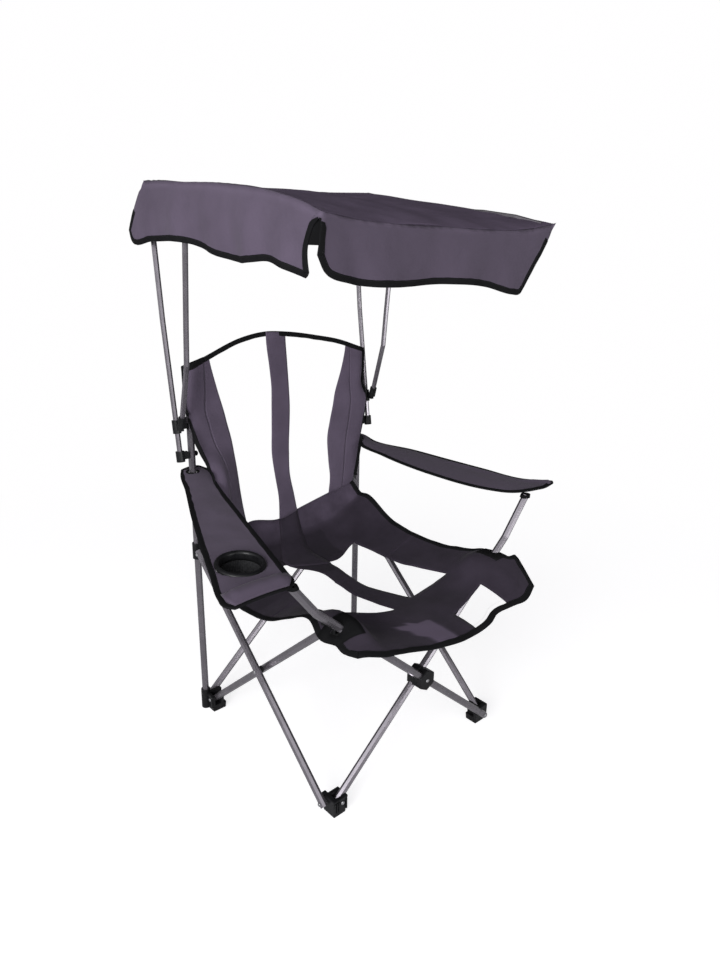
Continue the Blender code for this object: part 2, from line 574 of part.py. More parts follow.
def spread(points, counts):
    """Points run smoothly through the first axis, with that many steps in each interval.

    An interval of one step stays straight, and its neighbours meet it at a crease.
    """
    points = np.asarray(points, float)
    out = []
    for i, n in enumerate(counts):
        b, c = points[i], points[i + 1]
        a = points[i - 1] if i and counts[i - 1] > 1 else 2 * b - c
        d = points[i + 2] if i + 2 < len(points) and counts[i + 1] > 1 else 2 * c - b
        for k in range(n):
            t = k / n
            out.append(b + (c - b) * (3 * t * t - 2 * t ** 3)
                       + (c - a) / 2 * t * (1 - t) ** 2 - (d - b) / 2 * t * t * (1 - t))
    out.append(points[-1])
    return np.array(out)


def cloth(name, columns, column_steps, row_steps, openings, carrier, offset=0.0):
    """A closed cloth solid through a net of points, without the cells listed as openings."""
    net = spread(columns, column_steps)
    net = np.swapaxes(spread(np.swapaxes(net, 0, 1), row_steps), 0, 1)
    column_of = np.repeat(np.arange(len(column_steps)), column_steps)
    row_of = np.repeat(np.arange(len(row_steps)), row_steps)
    bm = bmesh.new()
    made = {}

    def vertex(i, j):
        if (i, j) not in made:
            made[i, j] = bm.verts.new(net[i, j])
        return made[i, j]

    for i, c in enumerate(column_of):
        for j, r in enumerate(row_of):
            if (c, r) not in openings:
                bm.faces.new((vertex(i, j), vertex(i + 1, j), vertex(i + 1, j + 1), vertex(i, j + 1)))
    for face in bm.faces:
        face.smooth = True
    mesh = bpy.data.meshes.new(name)
    bm.to_mesh(mesh)
    bm.free()
    thing = new_object(name, mesh)
    body = thing.modifiers.new("thickness", "SOLIDIFY")
    body.thickness = CLOTH_THICK
    body.offset = offset
    paint(thing, PURPLE_GREY, 0.0, 0.9)
    seat_on(thing, carrier)
    return thing


# Back panel: sleeves round the posts, three upright bands and long openings between them. Its shares are of
# the posts' distance from the middle, sideways and back, and of the way up from the hubs to the post tops.
R = TUBE_RADIUS + SLEEVE_SLACK
sleeve_height_shares = (1.009, 0.983, 0.904, 0.778, 0.726, 0.594, 0.466, 0.316, 0.188, 0.060)
left_edge_shares = [(-1.026, 0.934, 0.726), (-0.969, 0.917, 0.594), (-0.903, 0.716, 0.466), (-0.917, 0.624, 0.316),
                    (-0.932, 0.572, 0.177), (-0.943, 0.521, 0.060)]
left_front_shares = [(-0.976, 0.930, 0.726), (-0.910, 0.917, 0.596), (-0.851, 0.752, 0.466), (-0.862, 0.661, 0.316),
                     (-0.873, 0.617, 0.177), (-0.881, 0.576, 0.064)]
left_inner_shares = [(-0.789, 0.987, 1.056), (-0.782, 0.987, 1.030), (-0.716, 0.994, 0.882), (-0.646, 0.991, 0.733),
                     (-0.631, 0.987, 0.690), (-0.594, 0.976, 0.594), (-0.572, 0.947, 0.466), (-0.558, 0.917, 0.316),
                     (-0.536, 0.899, 0.188), (-0.495, 0.910, 0.085)]
middle_left_shares = [(-0.165, 1.006, 1.147), (-0.165, 1.006, 1.124), (-0.125, 1.013, 0.936), (-0.106, 1.017, 0.829),
                      (-0.110, 1.017, 0.733), (-0.117, 1.013, 0.594), (-0.125, 1.006, 0.455), (-0.099, 0.994, 0.316),
                      (-0.070, 0.980, 0.177), (-0.084, 0.954, 0.046)]
middle_right_shares = [(0.062, 1.006, 1.139), (0.062, 1.006, 1.115), (0.088, 1.013, 0.936), (0.103, 1.017, 0.829),
                       (0.110, 1.017, 0.733), (0.099, 1.013, 0.594), (0.084, 1.006, 0.455), (0.081, 0.994, 0.316),
                       (0.121, 0.980, 0.188), (0.147, 0.954, 0.076)]
right_inner_shares = [(0.807, 0.987, 1.056), (0.804, 0.987, 1.030), (0.752, 0.994, 0.882), (0.675, 0.998, 0.744),
                      (0.657, 0.998, 0.690), (0.617, 0.998, 0.594), (0.576, 0.994, 0.487), (0.587, 0.987, 0.338),
                      (0.602, 0.980, 0.220), (0.561, 0.954, 0.125)]
right_front_shares = [(1.006, 0.934, 0.726), (0.983, 0.932, 0.594), (0.932, 0.932, 0.466), (0.895, 0.939, 0.327),
                      (0.873, 0.954, 0.231), (0.859, 0.961, 0.156)]
right_edge_shares = [(1.057, 0.939, 0.726), (1.031, 0.934, 0.594), (0.983, 0.934, 0.466), (0.947, 0.943, 0.327),
                     (0.925, 0.954, 0.231), (0.914, 0.963, 0.165)]


def back_height(share):
    return HIGH + share * (POST_TOP - HIGH)


def back_line(shares):
    return [(x * P, y * P, back_height(z)) for x, y, z in shares]


def sleeve_line(sign, dx, dy, rows, lift=0.0):
    return [(sign * (P + dx), P + dy, back_height(share) + lift) for share in sleeve_height_shares[:rows]]


rows = len(sleeve_height_shares)
back_columns = [sleeve_line(-1, -SLEEVE_HEM, SLEEVE_HEM_LIFT, rows), sleeve_line(-1, 0, R, rows),
                sleeve_line(-1, R, 0, 4) + back_line(left_edge_shares),
                sleeve_line(-1, 0, -R, 4, SLEEVE_TOP_RISE) + back_line(left_front_shares),
                back_line(left_inner_shares), back_line(middle_left_shares), back_line(middle_right_shares),
                back_line(right_inner_shares),
                sleeve_line(1, 0, -R, 4, SLEEVE_TOP_RISE) + back_line(right_front_shares),
                sleeve_line(1, R, 0, 4) + back_line(right_edge_shares),
                sleeve_line(1, 0, R, rows), sleeve_line(1, -SLEEVE_HEM, SLEEVE_HEM_LIFT, rows)]
back_openings = {(c, r) for c in (0, 1, 9, 10) for r in range(3, 9)}
back_openings |= {(c, r) for c in (4, 6) for r in range(1, 9)}
cloth("back_panel", back_columns, [2, 2, 2, 3, 4, 2, 4, 3, 2, 2, 2], [1, 1, 2, 1, 2, 2, 2, 2, 2], back_openings,
      "chair_base")

# Seat panel: lumbar band, side bands, centre strap, cross band and front hem. Its shares are of the legs'
# distance from the middle, sideways and back, and of the hubs' height; its corners lie over the hubs.
over_hub = (HIGH + HUB_ABOVE + HUB_COVER) / HIGH
seat_row_shares = [
    # left edge, left corner, left band, strap left, strap right, right band, right corner, right edge
    [(-1.053, 0.549, 0.953), (-0.850, 0.724, 0.960), (-0.520, 0.919, 0.970), (-0.163, 0.951, 0.960),
     (0.134, 0.951, 0.975), (0.598, 0.943, 1.008), (0.862, 0.947, 1.064), (1.041, 0.947, 1.104)],
    [(-1.061, 0.528, 0.869), (-0.846, 0.650, 0.879), (-0.459, 0.744, 0.905), (-0.285, 0.752, 0.905),
     (0.049, 0.699, 0.907), (0.537, 0.683, 0.939), (0.854, 0.752, 1.028), (1.065, 0.793, 1.097)],
    [(-1.065, 0.467, 0.801), (-0.821, 0.508, 0.833), (-0.407, 0.569, 0.888), (-0.354, 0.569, 0.888),
     (0.053, 0.358, 0.888), (0.508, 0.459, 0.919), (0.833, 0.480, 0.968), (1.065, 0.484, 1.015)],
    [(-1.065, 0.203, 0.794), (-0.833, 0.224, 0.820), (-0.516, 0.232, 0.864), (-0.175, 0.244, 0.883),
     (0.049, 0.203, 0.883), (0.533, 0.224, 0.911), (0.833, 0.264, 0.947), (1.065, 0.264, 0.983)],
    [(-1.065, -0.081, 0.828), (-0.854, -0.061, 0.843), (-0.606, -0.041, 0.873), (-0.195, -0.081, 0.879),
     (0.020, -0.041, 0.881), (0.553, -0.020, 0.907), (0.833, 0.000, 0.939), (1.065, 0.000, 0.970)],
    [(-1.065, -0.366, 0.898), (-0.874, -0.325, 0.892), (-0.671, -0.305, 0.881), (-0.228, -0.398, 0.881),
     (0.000, -0.325, 0.881), (0.573, -0.285, 0.909), (0.846, -0.285, 0.941), (1.073, -0.285, 0.970)],
    [(-1.065, -0.610, 0.966), (-0.894, -0.569, 0.949), (-0.699, -0.508, 0.905), (-0.167, -0.882, 0.894),
     (0.142, -0.793, 0.890), (0.671, -0.776, 0.934), (0.874, -0.740, 0.979), (1.089, -0.728, 1.008)],
    [(-1.106, -0.907, over_hub), (-0.911, -0.907, over_hub), (-0.699, -0.833, 0.917), (-0.154, -1.118, 0.896),
     (0.159, -1.065, 0.896), (0.687, -0.988, 0.945), (0.911, -0.915, over_hub), (1.114, -0.915, over_hub)],
    [(-1.106, -1.179, over_hub), (-0.911, -1.179, over_hub), (-0.699, -1.138, 0.926), (-0.146, -1.341, 0.896),
     (0.175, -1.313, 0.903), (0.703, -1.191, 0.953), (0.911, -1.179, over_hub), (1.122, -1.179, over_hub)],
    [(-1.057, -1.358, 0.964), (-0.874, -1.382, 0.947), (-0.699, -1.411, 0.924), (-0.142, -1.581, 0.888),
     (0.163, -1.593, 0.888), (0.659, -1.549, 0.930), (0.874, -1.504, 0.972), (1.114, -1.362, 1.008)],
    [(-1.045, -1.394, 0.949), (-0.866, -1.427, 0.936), (-0.699, -1.447, 0.917), (-0.142, -1.618, 0.881),
     (0.163, -1.630, 0.881), (0.667, -1.593, 0.924), (0.862, -1.598, 0.960), (1.024, -1.569, 0.977)],
]
seam = [(x, y, z - 3 * GAP) for x, y, z in (column[-1] for column in back_columns[2:10])]
seat_rows = [seam] + [[(x * D, y * D, z * HIGH) for x, y, z in row] for row in seat_row_shares]
seat_columns = [list(line) for line in zip(*seat_rows)]
seat_openings = {(c, r) for c in (2, 4) for r in range(3, 7)} | {(4, 9)}
seat = cloth("seat_panel", seat_columns, [2, 3, 4, 2, 4, 3, 2], [1, 1, 2, 2, 1, 1, 2, 1, 1, 2, 1], seat_openings,
             "rear_left_hub_axis")
slot = TUBE_RADIUS + ARM_SLOT_CLEARANCE
slot_from = D - ARM_SLOT_INSET
combine(seat, [((-D - OVERRUN, left_arm_y - slot, HIGH - OVERRUN), (-slot_from, left_arm_y + slot, HIGH + OVERRUN)),
               ((slot_from, right_arm_y - slot, HIGH - OVERRUN), (D + OVERRUN, right_arm_y + slot, HIGH + OVERRUN))],
        "DIFFERENCE", "arm_slots")

# Canopy: a sheet whose side, front and rear flaps hang from its edges, open at the corners. Its shares are
# of the canopy's depth and rise over the bracket pins, and of its half width.
edge_shares = [(0.0553, 1.0000), (-0.0371, 0.9919), (-0.2186, 0.9789), (-0.4332, 0.9611), (-0.6279, 0.9465),
               (-0.7715, 0.9302), (-0.8870, 0.9027), (-0.9447, 0.8832)]
hem_shares = [(0.1543, 0.8183), (0.0173, 0.8151), (-0.2021, 0.8086), (-0.4332, 0.7615), (-0.6279, 0.7680),
              (-0.7715, 0.7388), (-0.8622, 0.7193), (-0.8919, 0.7307)]
fold_shares = (0.4, 1.0, -0.2, 0.5, 0.9, 0.0, 0.6, 0.3)
across_shares = (-1.000, -0.773, -0.479, -0.079, 0.312, 0.585, 0.770, 1.000)
front_shares = (0.8832, 0.8751, 0.8621, 0.8589, 0.8540, 0.8572, 0.8653, 0.8864)
front_hem_shares = (0.7859, 0.6999, 0.6869, 0.6918, 0.6772, 0.6496, 0.7161, 0.8053)
crown_shares = (0.0000, 0.0097, 0.0162, 0.0195, 0.0195, 0.0162, 0.0097, 0.0000)
rear_flap_shares = [(0.1774, 0.8297), (0.1196, 0.9189)]
front_flap_share, front_hem_share = -0.9513, -0.9497


def top_line(index):
    """One column of the canopy's net, from the rear hem over the top to the front hem."""
    x = across_shares[index] * CANOPY_HALF_WIDTH
    line = [canopy_place(x, share) for share in rear_flap_shares]
    for k, (back, up) in enumerate(edge_shares):
        share = k / (len(edge_shares) - 1)
        drop = (front_shares[index] - front_shares[0]) * share ** 3
        line.append(canopy_place(x, (back, up + crown_shares[index] * (1 - share) + drop)))
    line.append(canopy_place(x, (front_flap_share, (front_shares[index] + front_hem_shares[index]) / 2)))
    hem = canopy_place(x, (front_hem_share, front_hem_shares[index]))
    return line + [(hem[0], hem[1] - CANOPY_FOLD * fold_shares[index], hem[2])]


def side_line(sign, depth):
    """One line along a side flap, that far down from its edge as a share of its drop."""
    places = []
    for (back, up), (hem_back, hem_up), fold in zip(edge_shares, hem_shares, fold_shares):
        x = sign * (CANOPY_HALF_WIDTH + CANOPY_FOLD * depth * fold)
        places.append(canopy_place(x, (back + (hem_back - back) * depth, up + (hem_up - up) * depth)))
    return [places[0], places[0], *places, places[-1], places[-1]]


canopy_columns = [side_line(-1, 1.0), side_line(-1, 0.5)]
canopy_columns += [top_line(i) for i in range(len(across_shares))]
canopy_columns += [side_line(1, 0.5), side_line(1, 1.0)]
across_steps = [1, 1] + [2] * 7 + [1, 1]
canopy_openings = {(c, r) for c in (0, 1, 9, 10) for r in (0, 1, 9, 10)}
cloth("canopy", canopy_columns, across_steps, across_steps, canopy_openings, "left_canopy_axis", -1.0)

# Armrest panels, sloping down to the front. Their shares are of the posts' distance from the middle.
left_arm_shares = [(-1.119, 1.002), (-1.083, 1.086), (-0.994, 1.130), (-0.840, 1.119), (-0.833, 1.002), (-0.939, 0.683),
                   (-1.149, -0.132), (-1.292, -0.668), (-1.365, -0.954), (-1.428, -1.039), (-1.516, -1.072),
                   (-1.681, -1.079), (-1.901, -1.079), (-1.927, -1.031), (-1.908, -0.906), (-1.809, -0.657),
                   (-1.604, -0.139), (-1.453, 0.224), (-1.237, 0.712)]
right_arm_shares = [(1.105, 0.840), (1.284, 0.437), (1.413, 0.055), (1.538, -0.330), (1.655, -0.701), (1.828, -0.888),
                    (1.820, -0.976), (1.637, -1.020), (1.409, -0.961), (1.127, -0.661), (0.936, -0.077),
                    (0.855, 0.466), (0.844, 0.910)]
POST_SIDE = P + TUBE_RADIUS + GAP
hook_front, hook_back = P - TUBE_RADIUS - HOOK_CLEARANCE, P + TUBE_RADIUS + HOOK_CLEARANCE
hook_width = 2 * TUBE_RADIUS
left_arm = [(x * P, y * P) for x, y in left_arm_shares]
right_arm = [(x * P, y * P) for x, y in right_arm_shares]
right_arm += [(P, hook_front - TUBE_RADIUS), (POST_SIDE, hook_front), (POST_SIDE, hook_back), (P, hook_back),
              (P, hook_back + hook_width), (P + hook_width, hook_back + hook_width), (POST_SIDE + hook_width, P)]
cup_share = (-1.552, -0.628)
cup_point = Vector((cup_share[0] * P, cup_share[1] * P, arm_height(cup_share[1] * P)))
cup_tilt = math.atan(ARM_REST_SLOPE)
cup_up = Vector((0, -math.sin(cup_tilt), math.cos(cup_tilt)))
for name, outline, carrier in (("armrest_left", left_arm, "front_outer_axis"),
                               ("armrest_right", right_arm, "front_inner_axis")):
    bm = bmesh.new()
    bm.faces.new([bm.verts.new((x, y, arm_height(y))) for x, y in outline])
    for face in bm.faces:
        face.normal_update()
        if face.normal.z < 0:
            face.normal_flip()
    mesh = bpy.data.meshes.new(name)
    bm.to_mesh(mesh)
    bm.free()
    arm = new_object(name, mesh)
    body = arm.modifiers.new("thickness", "SOLIDIFY")
    body.thickness = ARM_CLOTH_THICK
    body.offset = 0.0
    paint(arm, PURPLE_GREY, 0.0, 0.9)
    seat_on(arm, carrier)
    if name == "armrest_left":
        combine(arm, [((-P, P, ARM_REST_HEIGHT - OVERRUN), (-P, P, ARM_REST_HEIGHT + OVERRUN),
                       TUBE_RADIUS + POST_HOLE_CLEARANCE, 16),
                      (cup_point - cup_up * OVERRUN, cup_point + cup_up * OVERRUN, CUP_RING_RADIUS + GAP, 24)],
                "DIFFERENCE", "post_and_cup_holes")

# Cup holder: a plastic ring let into the left armrest and a bag hanging from it
inside = CUP_RING_RADIUS - CUP_RING_WALL
half_ring = CUP_RING_DEPTH / 2
ring = turned_piece("cup_ring", [
    (CUP_RING_RADIUS, -half_ring), (CUP_RING_RADIUS, half_ring - CUP_RING_EDGE),
    (CUP_RING_RADIUS - CUP_RING_EDGE, half_ring), (inside + CUP_RING_EDGE, half_ring),
    (inside, half_ring - CUP_RING_EDGE), (inside, -half_ring), (CUP_RING_RADIUS, -half_ring)], 24)
paint(ring, BLACK, 0.0, 0.25)
seat_on(ring, "front_outer_axis", cup_point, (cup_tilt, 0, 0))
bag_top = -half_ring - GAP
bag_bottom = bag_top - BAG_DEPTH
bag_mouth = inside + BAG_LIP
bag = turned_piece("cup_bag", [
    (bag_mouth, bag_top), (BAG_BOTTOM_RADIUS, bag_bottom + BAG_CORNER), (BAG_BOTTOM_RADIUS - BAG_CORNER, bag_bottom),
    (0, bag_bottom), (0, bag_bottom + BAG_THICK), (BAG_BOTTOM_RADIUS - BAG_CORNER, bag_bottom + BAG_THICK),
    (BAG_BOTTOM_RADIUS - BAG_THICK, bag_bottom + BAG_CORNER + BAG_THICK), (bag_mouth - BAG_THICK, bag_top),
    (bag_mouth, bag_top)], 20, flip=False)
paint(bag, BLACK, 0.0, 0.9)
seat_on(bag, "front_outer_axis", cup_point, (cup_tilt, 0, 0))

# The base empty moves the whole chair so that its middle stands over the origin
bpy.context.view_layer.update()
graph = bpy.context.evaluated_depsgraph_get()
corners = [thing.matrix_world @ Vector(corner) for thing in chair.objects if thing.type == "MESH"
           for corner in thing.evaluated_get(graph).bound_box]
for axis in (0, 1):
    low, high = min(c[axis] for c in corners), max(c[axis] for c in corners)
    bpy.data.objects["chair_base"].location[axis] = -(low + high) / 2
bpy.context.view_layer.update()
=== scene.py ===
"""Canopy folding chair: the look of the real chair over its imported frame.

The chair faces -Y, Z is up, and the cup holder is on the -X side. Lengths are in metres.
"""

import math

import bmesh
import bpy
import numpy as np
from mathutils import Matrix, Vector, noise


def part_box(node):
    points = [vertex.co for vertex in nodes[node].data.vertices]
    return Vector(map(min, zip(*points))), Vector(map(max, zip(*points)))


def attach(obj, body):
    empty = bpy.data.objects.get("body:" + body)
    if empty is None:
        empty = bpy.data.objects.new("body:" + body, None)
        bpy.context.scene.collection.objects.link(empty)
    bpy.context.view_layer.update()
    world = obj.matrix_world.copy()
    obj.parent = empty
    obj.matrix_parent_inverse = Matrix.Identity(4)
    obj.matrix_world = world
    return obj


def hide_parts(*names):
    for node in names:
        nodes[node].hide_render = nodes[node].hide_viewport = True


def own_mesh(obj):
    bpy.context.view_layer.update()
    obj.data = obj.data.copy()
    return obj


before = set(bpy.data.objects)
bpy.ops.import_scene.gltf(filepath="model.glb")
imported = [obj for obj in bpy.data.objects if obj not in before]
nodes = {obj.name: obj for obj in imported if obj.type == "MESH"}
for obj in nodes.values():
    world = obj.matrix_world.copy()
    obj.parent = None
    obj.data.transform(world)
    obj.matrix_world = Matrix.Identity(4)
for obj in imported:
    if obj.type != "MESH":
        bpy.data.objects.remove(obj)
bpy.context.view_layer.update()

# Tubes
# Steel tube, painted a satin mid grey with a slight purple cast. The paint is a little uneven, and it takes
# the light as long bright streaks. Places on the chair are counted from the middle of its four feet.
tube_grey = (0.275, 0.255, 0.285)
post_place = 0.2725
left_post, right_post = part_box("post_left"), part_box("post_right")
middle_x = (left_post[0].x + right_post[1].x) / 2
middle_y = (left_post[0].y + left_post[1].y) / 2 - post_place


def at(x, y, z):
    """A point counted from the middle of the four feet."""
    return Vector((x + middle_x, y + middle_y, z))


def dial(node, **values):
    """Sets a node's sockets and settings; the spaces in a socket's name are written as underlines."""
    for key, value in values.items():
        socket = key.replace("_", " ")
        if socket in node.inputs:
            node.inputs[socket].default_value = value
        else:
            setattr(node, key, value)
    return node


def add_node(tree, kind, **values):
    return dial(tree.nodes.new("ShaderNode" + kind), **values)


def wire(source, output, target, socket):
    source.id_data.links.new(source.outputs[output], target.inputs[socket])


def new_material(name, colour, roughness, **values):
    """A material, its node tree and its shader."""
    material = bpy.data.materials.new(name)
    material.use_nodes = True
    shader = material.node_tree.nodes["Principled BSDF"]
    dial(shader, Base_Color=(*colour, 1.0), Roughness=roughness, **values)
    return material, material.node_tree, shader


def shade_between(tree, shader, factor, low, high):
    """Mixes the base colour from low to high by a factor socket."""
    tint = add_node(tree, "ValToRGB")
    for stop, place, colour in zip(tint.color_ramp.elements, (0.3, 0.7), (low, high)):
        stop.position, stop.color = place, (*colour, 1.0)
    tree.links.new(factor, tint.inputs["Fac"])
    wire(tint, "Color", shader, "Base Color")
    return tint


def mottle(tree, shader, low, high, scale, smooth, rough, grain_scale, grain=0.12):
    """Uneven colour and gloss from clouds of the given scale, with a fine grain in relief."""
    where = add_node(tree, "TexCoord")
    cloud = add_node(tree, "TexNoise", Scale=scale, Detail=6.0, Roughness=0.6)
    wire(where, "Object", cloud, "Vector")
    shade_between(tree, shader, cloud.outputs["Fac"], low, high)
    gloss = add_node(tree, "MapRange", To_Min=smooth, To_Max=rough)
    wire(cloud, "Fac", gloss, "Value")
    wire(gloss, "Result", shader, "Roughness")
    fine = add_node(tree, "TexNoise", Scale=grain_scale, Detail=3.0)
    wire(where, "Object", fine, "Vector")
    relief = add_node(tree, "Bump", Strength=grain, Distance=0.0004)
    wire(fine, "Fac", relief, "Height")
    wire(relief, "Normal", shader, "Normal")


def finish_nodes(material, chosen):
    for name, node in nodes.items():
        if chosen(name):
            node.data.materials.clear()
            node.data.materials.append(material)


def darker(colour, share):
    return tuple(channel * share for channel in colour)


tube_paint, tree, shader = new_material("grey paint", tube_grey, 0.3, Metallic=0.85, Coat_Weight=0.6,
                                        Coat_Roughness=0.14)
mottle(tree, shader, darker(tube_grey, 0.9), darker(tube_grey, 1.15), 30.0, 0.22, 0.32, 1400.0, 0.03)
finish_nodes(tube_paint, lambda name: "tube" in name or name.startswith(("post_", "canopy_pole")))

# Black mouldings
# Feet, hubs, cross hub, spacers, brackets, clamps and the cup holder's ring are glossy black nylon,
# injection moulded, with a faint grain and fine scuffs.
moulding_black = (0.009, 0.009, 0.01)
moulding, tree, shader = new_material("black moulding", moulding_black, 0.24, Specular_IOR_Level=0.25)
mottle(tree, shader, darker(moulding_black, 0.6), darker(moulding_black, 1.5), 60.0, 0.2, 0.38, 700.0, 0.1)
moulded = ("foot_", "hub_", "cross_hub", "spacer", "bracket", "clamp", "cup_ring")
finish_nodes(moulding, lambda name: name.startswith(moulded) and "rivet" not in name)

# Rivets
# Domed rivets of plated steel hold every foot, hub and crossing, pressed through the tube and the
# moulding. Their heads are bright, with small scratches.
rivet_bright = (0.62, 0.62, 0.64)
rivet_steel, tree, shader = new_material("rivet steel", rivet_bright, 0.3, Metallic=1.0)
mottle(tree, shader, darker(rivet_bright, 0.85), rivet_bright, 200.0, 0.22, 0.4, 1500.0)
finish_nodes(rivet_steel, lambda name: "rivet" in name)

# Back panel
# Polyester oxford cloth in three upright bands. The outer two are folded round the posts and sewn down as
# sleeves. Black tape binds the top, where it alone spans the openings, and the outer edges.
cloth_purple = (0.106, 0.083, 0.124)
tape_black = (0.007, 0.007, 0.008)
cloth_thick = 0.0009
thread_pitch = 0.0007
tape_width = 0.0115
tape_proud = 0.0015
tape_step, tape_rib = 0.006, 0.0018
stitch_inset = 0.0022
stitch_pitch = 0.0046
stitch_length = 0.0032
stitch_radius = 0.00038


def maths(tree, operation, first, second=None):
    """The output of a Math node on sockets or plain numbers."""
    made = add_node(tree, "Math", operation=operation)
    for socket, value in zip(made.inputs, (first, second)):
        if isinstance(value, (int, float)):
            socket.default_value = value
        elif value is not None:
            tree.links.new(value, socket)
    return made.outputs["Value"]


def thread_waves(tree, pitch):
    """The cloth's own coordinates, and two waves across them, one for each way that its threads run."""
    laid = add_node(tree, "UVMap", uv_map="weave")
    apart = add_node(tree, "SeparateXYZ")
    wire(laid, "UV", apart, "Vector")
    turns = [maths(tree, "MULTIPLY", apart.outputs[axis], math.pi / pitch) for axis in "XY"]
    return laid, [maths(tree, "SINE", turn) for turn in turns]


def woven(name, low, high, pitch, relief, sheen, shine=0.3, pale=1.5):
    """Plain-weave cloth: threads over and under each other with a faint painted highlight where they cross,
    slubs, broad uneven tone, and paler worn places and painted light and shade from the wear attribute.
    """
    material, tree, shader = new_material(name, low, 0.85, Sheen_Weight=sheen, Sheen_Roughness=0.45,
                                          Specular_IOR_Level=shine)
    laid, threads = thread_waves(tree, pitch)
    crossing = maths(tree, "MULTIPLY", *threads)
    where = add_node(tree, "TexCoord")
    cloud = add_node(tree, "TexNoise", Scale=11.0, Detail=5.0, Roughness=0.55)
    wire(where, "Object", cloud, "Vector")
    stretched = add_node(tree, "Mapping", Scale=(260.0, 1900.0, 1.0))
    wire(laid, "UV", stretched, "Vector")
    fleck = add_node(tree, "TexNoise", Scale=1.0, Detail=2.0)
    wire(stretched, "Vector", fleck, "Vector")
    worn_and_shaded = add_node(tree, "Attribute", attribute_name="wear")
    # The colour mixes broad clouds, slubs, a faint painted highlight on the threads' crossings, and the wear
    # attribute, which holds worn places and painted light and shade.
    total = maths(tree, "MULTIPLY", cloud.outputs["Fac"], 0.62)
    for factor, share in ((fleck.outputs["Fac"], 0.3), (crossing, 0.05), (worn_and_shaded.outputs["Fac"], 0.22)):
        total = maths(tree, "ADD", total, maths(tree, "MULTIPLY", factor, share))
    tint = shade_between(tree, shader, total, low, high)
    palest_stop = tint.color_ramp.elements.new(1.0)
    palest_stop.color = (*darker(high, pale), 1.0)
    puckers = add_node(tree, "TexNoise", Scale=70.0, Detail=3.0)
    wire(where, "Object", puckers, "Vector")
    soft = add_node(tree, "Bump", Strength=0.18, Distance=0.0016)
    wire(puckers, "Fac", soft, "Height")
    fine = add_node(tree, "Bump", Strength=relief, Distance=0.00016)
    tree.links.new(crossing, fine.inputs["Height"])
    wire(soft, "Normal", fine, "Normal")
    wire(fine, "Normal", shader, "Normal")
    return material


purple_cloth = woven("purple grey cloth", darker(cloth_purple, 0.82), darker(cloth_purple, 1.22),
                     thread_pitch, 0.35, 0.08)
# Painted shade: the seat's cloth is the same purple darkened to about four tenths, for the shade that falls
# on the seat under the canopy and arms.
seat_shaded_purple = darker(cloth_purple, 0.38)
shaded_seat_cloth = woven("deep purple grey cloth", darker(seat_shaded_purple, 0.62), darker(seat_shaded_purple, 1.3),
                   thread_pitch, 0.35, 0.05, 0.2, 2.3)
black_tape = woven("black tape", darker(tape_black, 0.6), darker(tape_black, 1.5), 0.0011, 0.5, 0.0, 0.15)
black_webbing = woven("black webbing", darker(tape_black, 0.5), darker(tape_black, 1.2), 0.0016, 0.8, 0.0,
                      0.15)
purple_thread, tree, shader = new_material("purple thread", darker(cloth_purple, 0.7), 0.6)
mottle(tree, shader, darker(cloth_purple, 0.55), darker(cloth_purple, 0.9), 900.0, 0.5, 0.75, 2500.0, 0.4)
black_thread, tree, shader = new_material("black thread", darker(tape_black, 1.6), 0.6)
mottle(tree, shader, darker(tape_black, 1.2), darker(tape_black, 2.4), 900.0, 0.5, 0.7, 2500.0, 0.4)


def spread(points, steps, creases=()):
    """Points run smoothly through the first axis, with that many steps a gap, and turn at a crease."""
    points = np.asarray(points, float)
    gaps = np.linalg.norm(np.diff(points, axis=0), axis=-1)
    gaps = np.maximum(gaps.reshape(len(points) - 1, -1).mean(axis=1), 1e-6)
    slopes = np.diff(points, axis=0) / gaps.reshape([-1] + [1] * (points.ndim - 1))
    leaving = np.concatenate([slopes, slopes[-1:]])
    arriving = np.concatenate([slopes[:1], slopes])
    for i in range(1, len(points) - 1):
        if i not in creases:
            before, after = gaps[i - 1], gaps[i]
            leaving[i] = arriving[i] = (after * slopes[i - 1] + before * slopes[i]) / (before + after)
    line = []
    for i, count in enumerate(steps):
        for k in range(count):
            t = k / count
            square, cube = t ** 2, t ** 3
            start = (2 * cube - 3 * square + 1) * points[i] + (cube - 2 * square + t) * gaps[i] * leaving[i]
            end = (3 * square - 2 * cube) * points[i + 1] + (cube - square) * gaps[i] * arriving[i + 1]
            line.append(start + end)
    return np.array(line + [points[-1]])


def net(columns, column_steps, row_steps, column_creases=(), row_creases=()):
    """A dense net of points through a coarse one, column by column."""
    wide = spread(columns, column_steps, column_creases)
    return np.swapaxes(spread(np.swapaxes(wide, 0, 1), row_steps, row_creases), 0, 1)


def facing(points):
    """The unit normals of a net."""
    across, along = np.gradient(points, axis=0), np.gradient(points, axis=1)
    normals = np.cross(across, along)
    return normals / np.maximum(np.linalg.norm(normals, axis=-1, keepdims=True), 1e-9)


def crumple(points, depth, scale, seed, stretch=(1.0, 1.0, 1.0)):
    """Moves a net's points along their normals by smooth noise, as slack cloth lies."""
    moved = points.copy()
    normals = facing(points)
    for index in np.ndindex(points.shape[:2]):
        place = Vector(points[index]) * scale
        place = Vector((place.x * stretch[0] + seed, place.y * stretch[1], place.z * stretch[2]))
        rise = noise.fractal(place, 0.8, 2.0, 3)
        moved[index] += normals[index] * rise * depth
    return moved


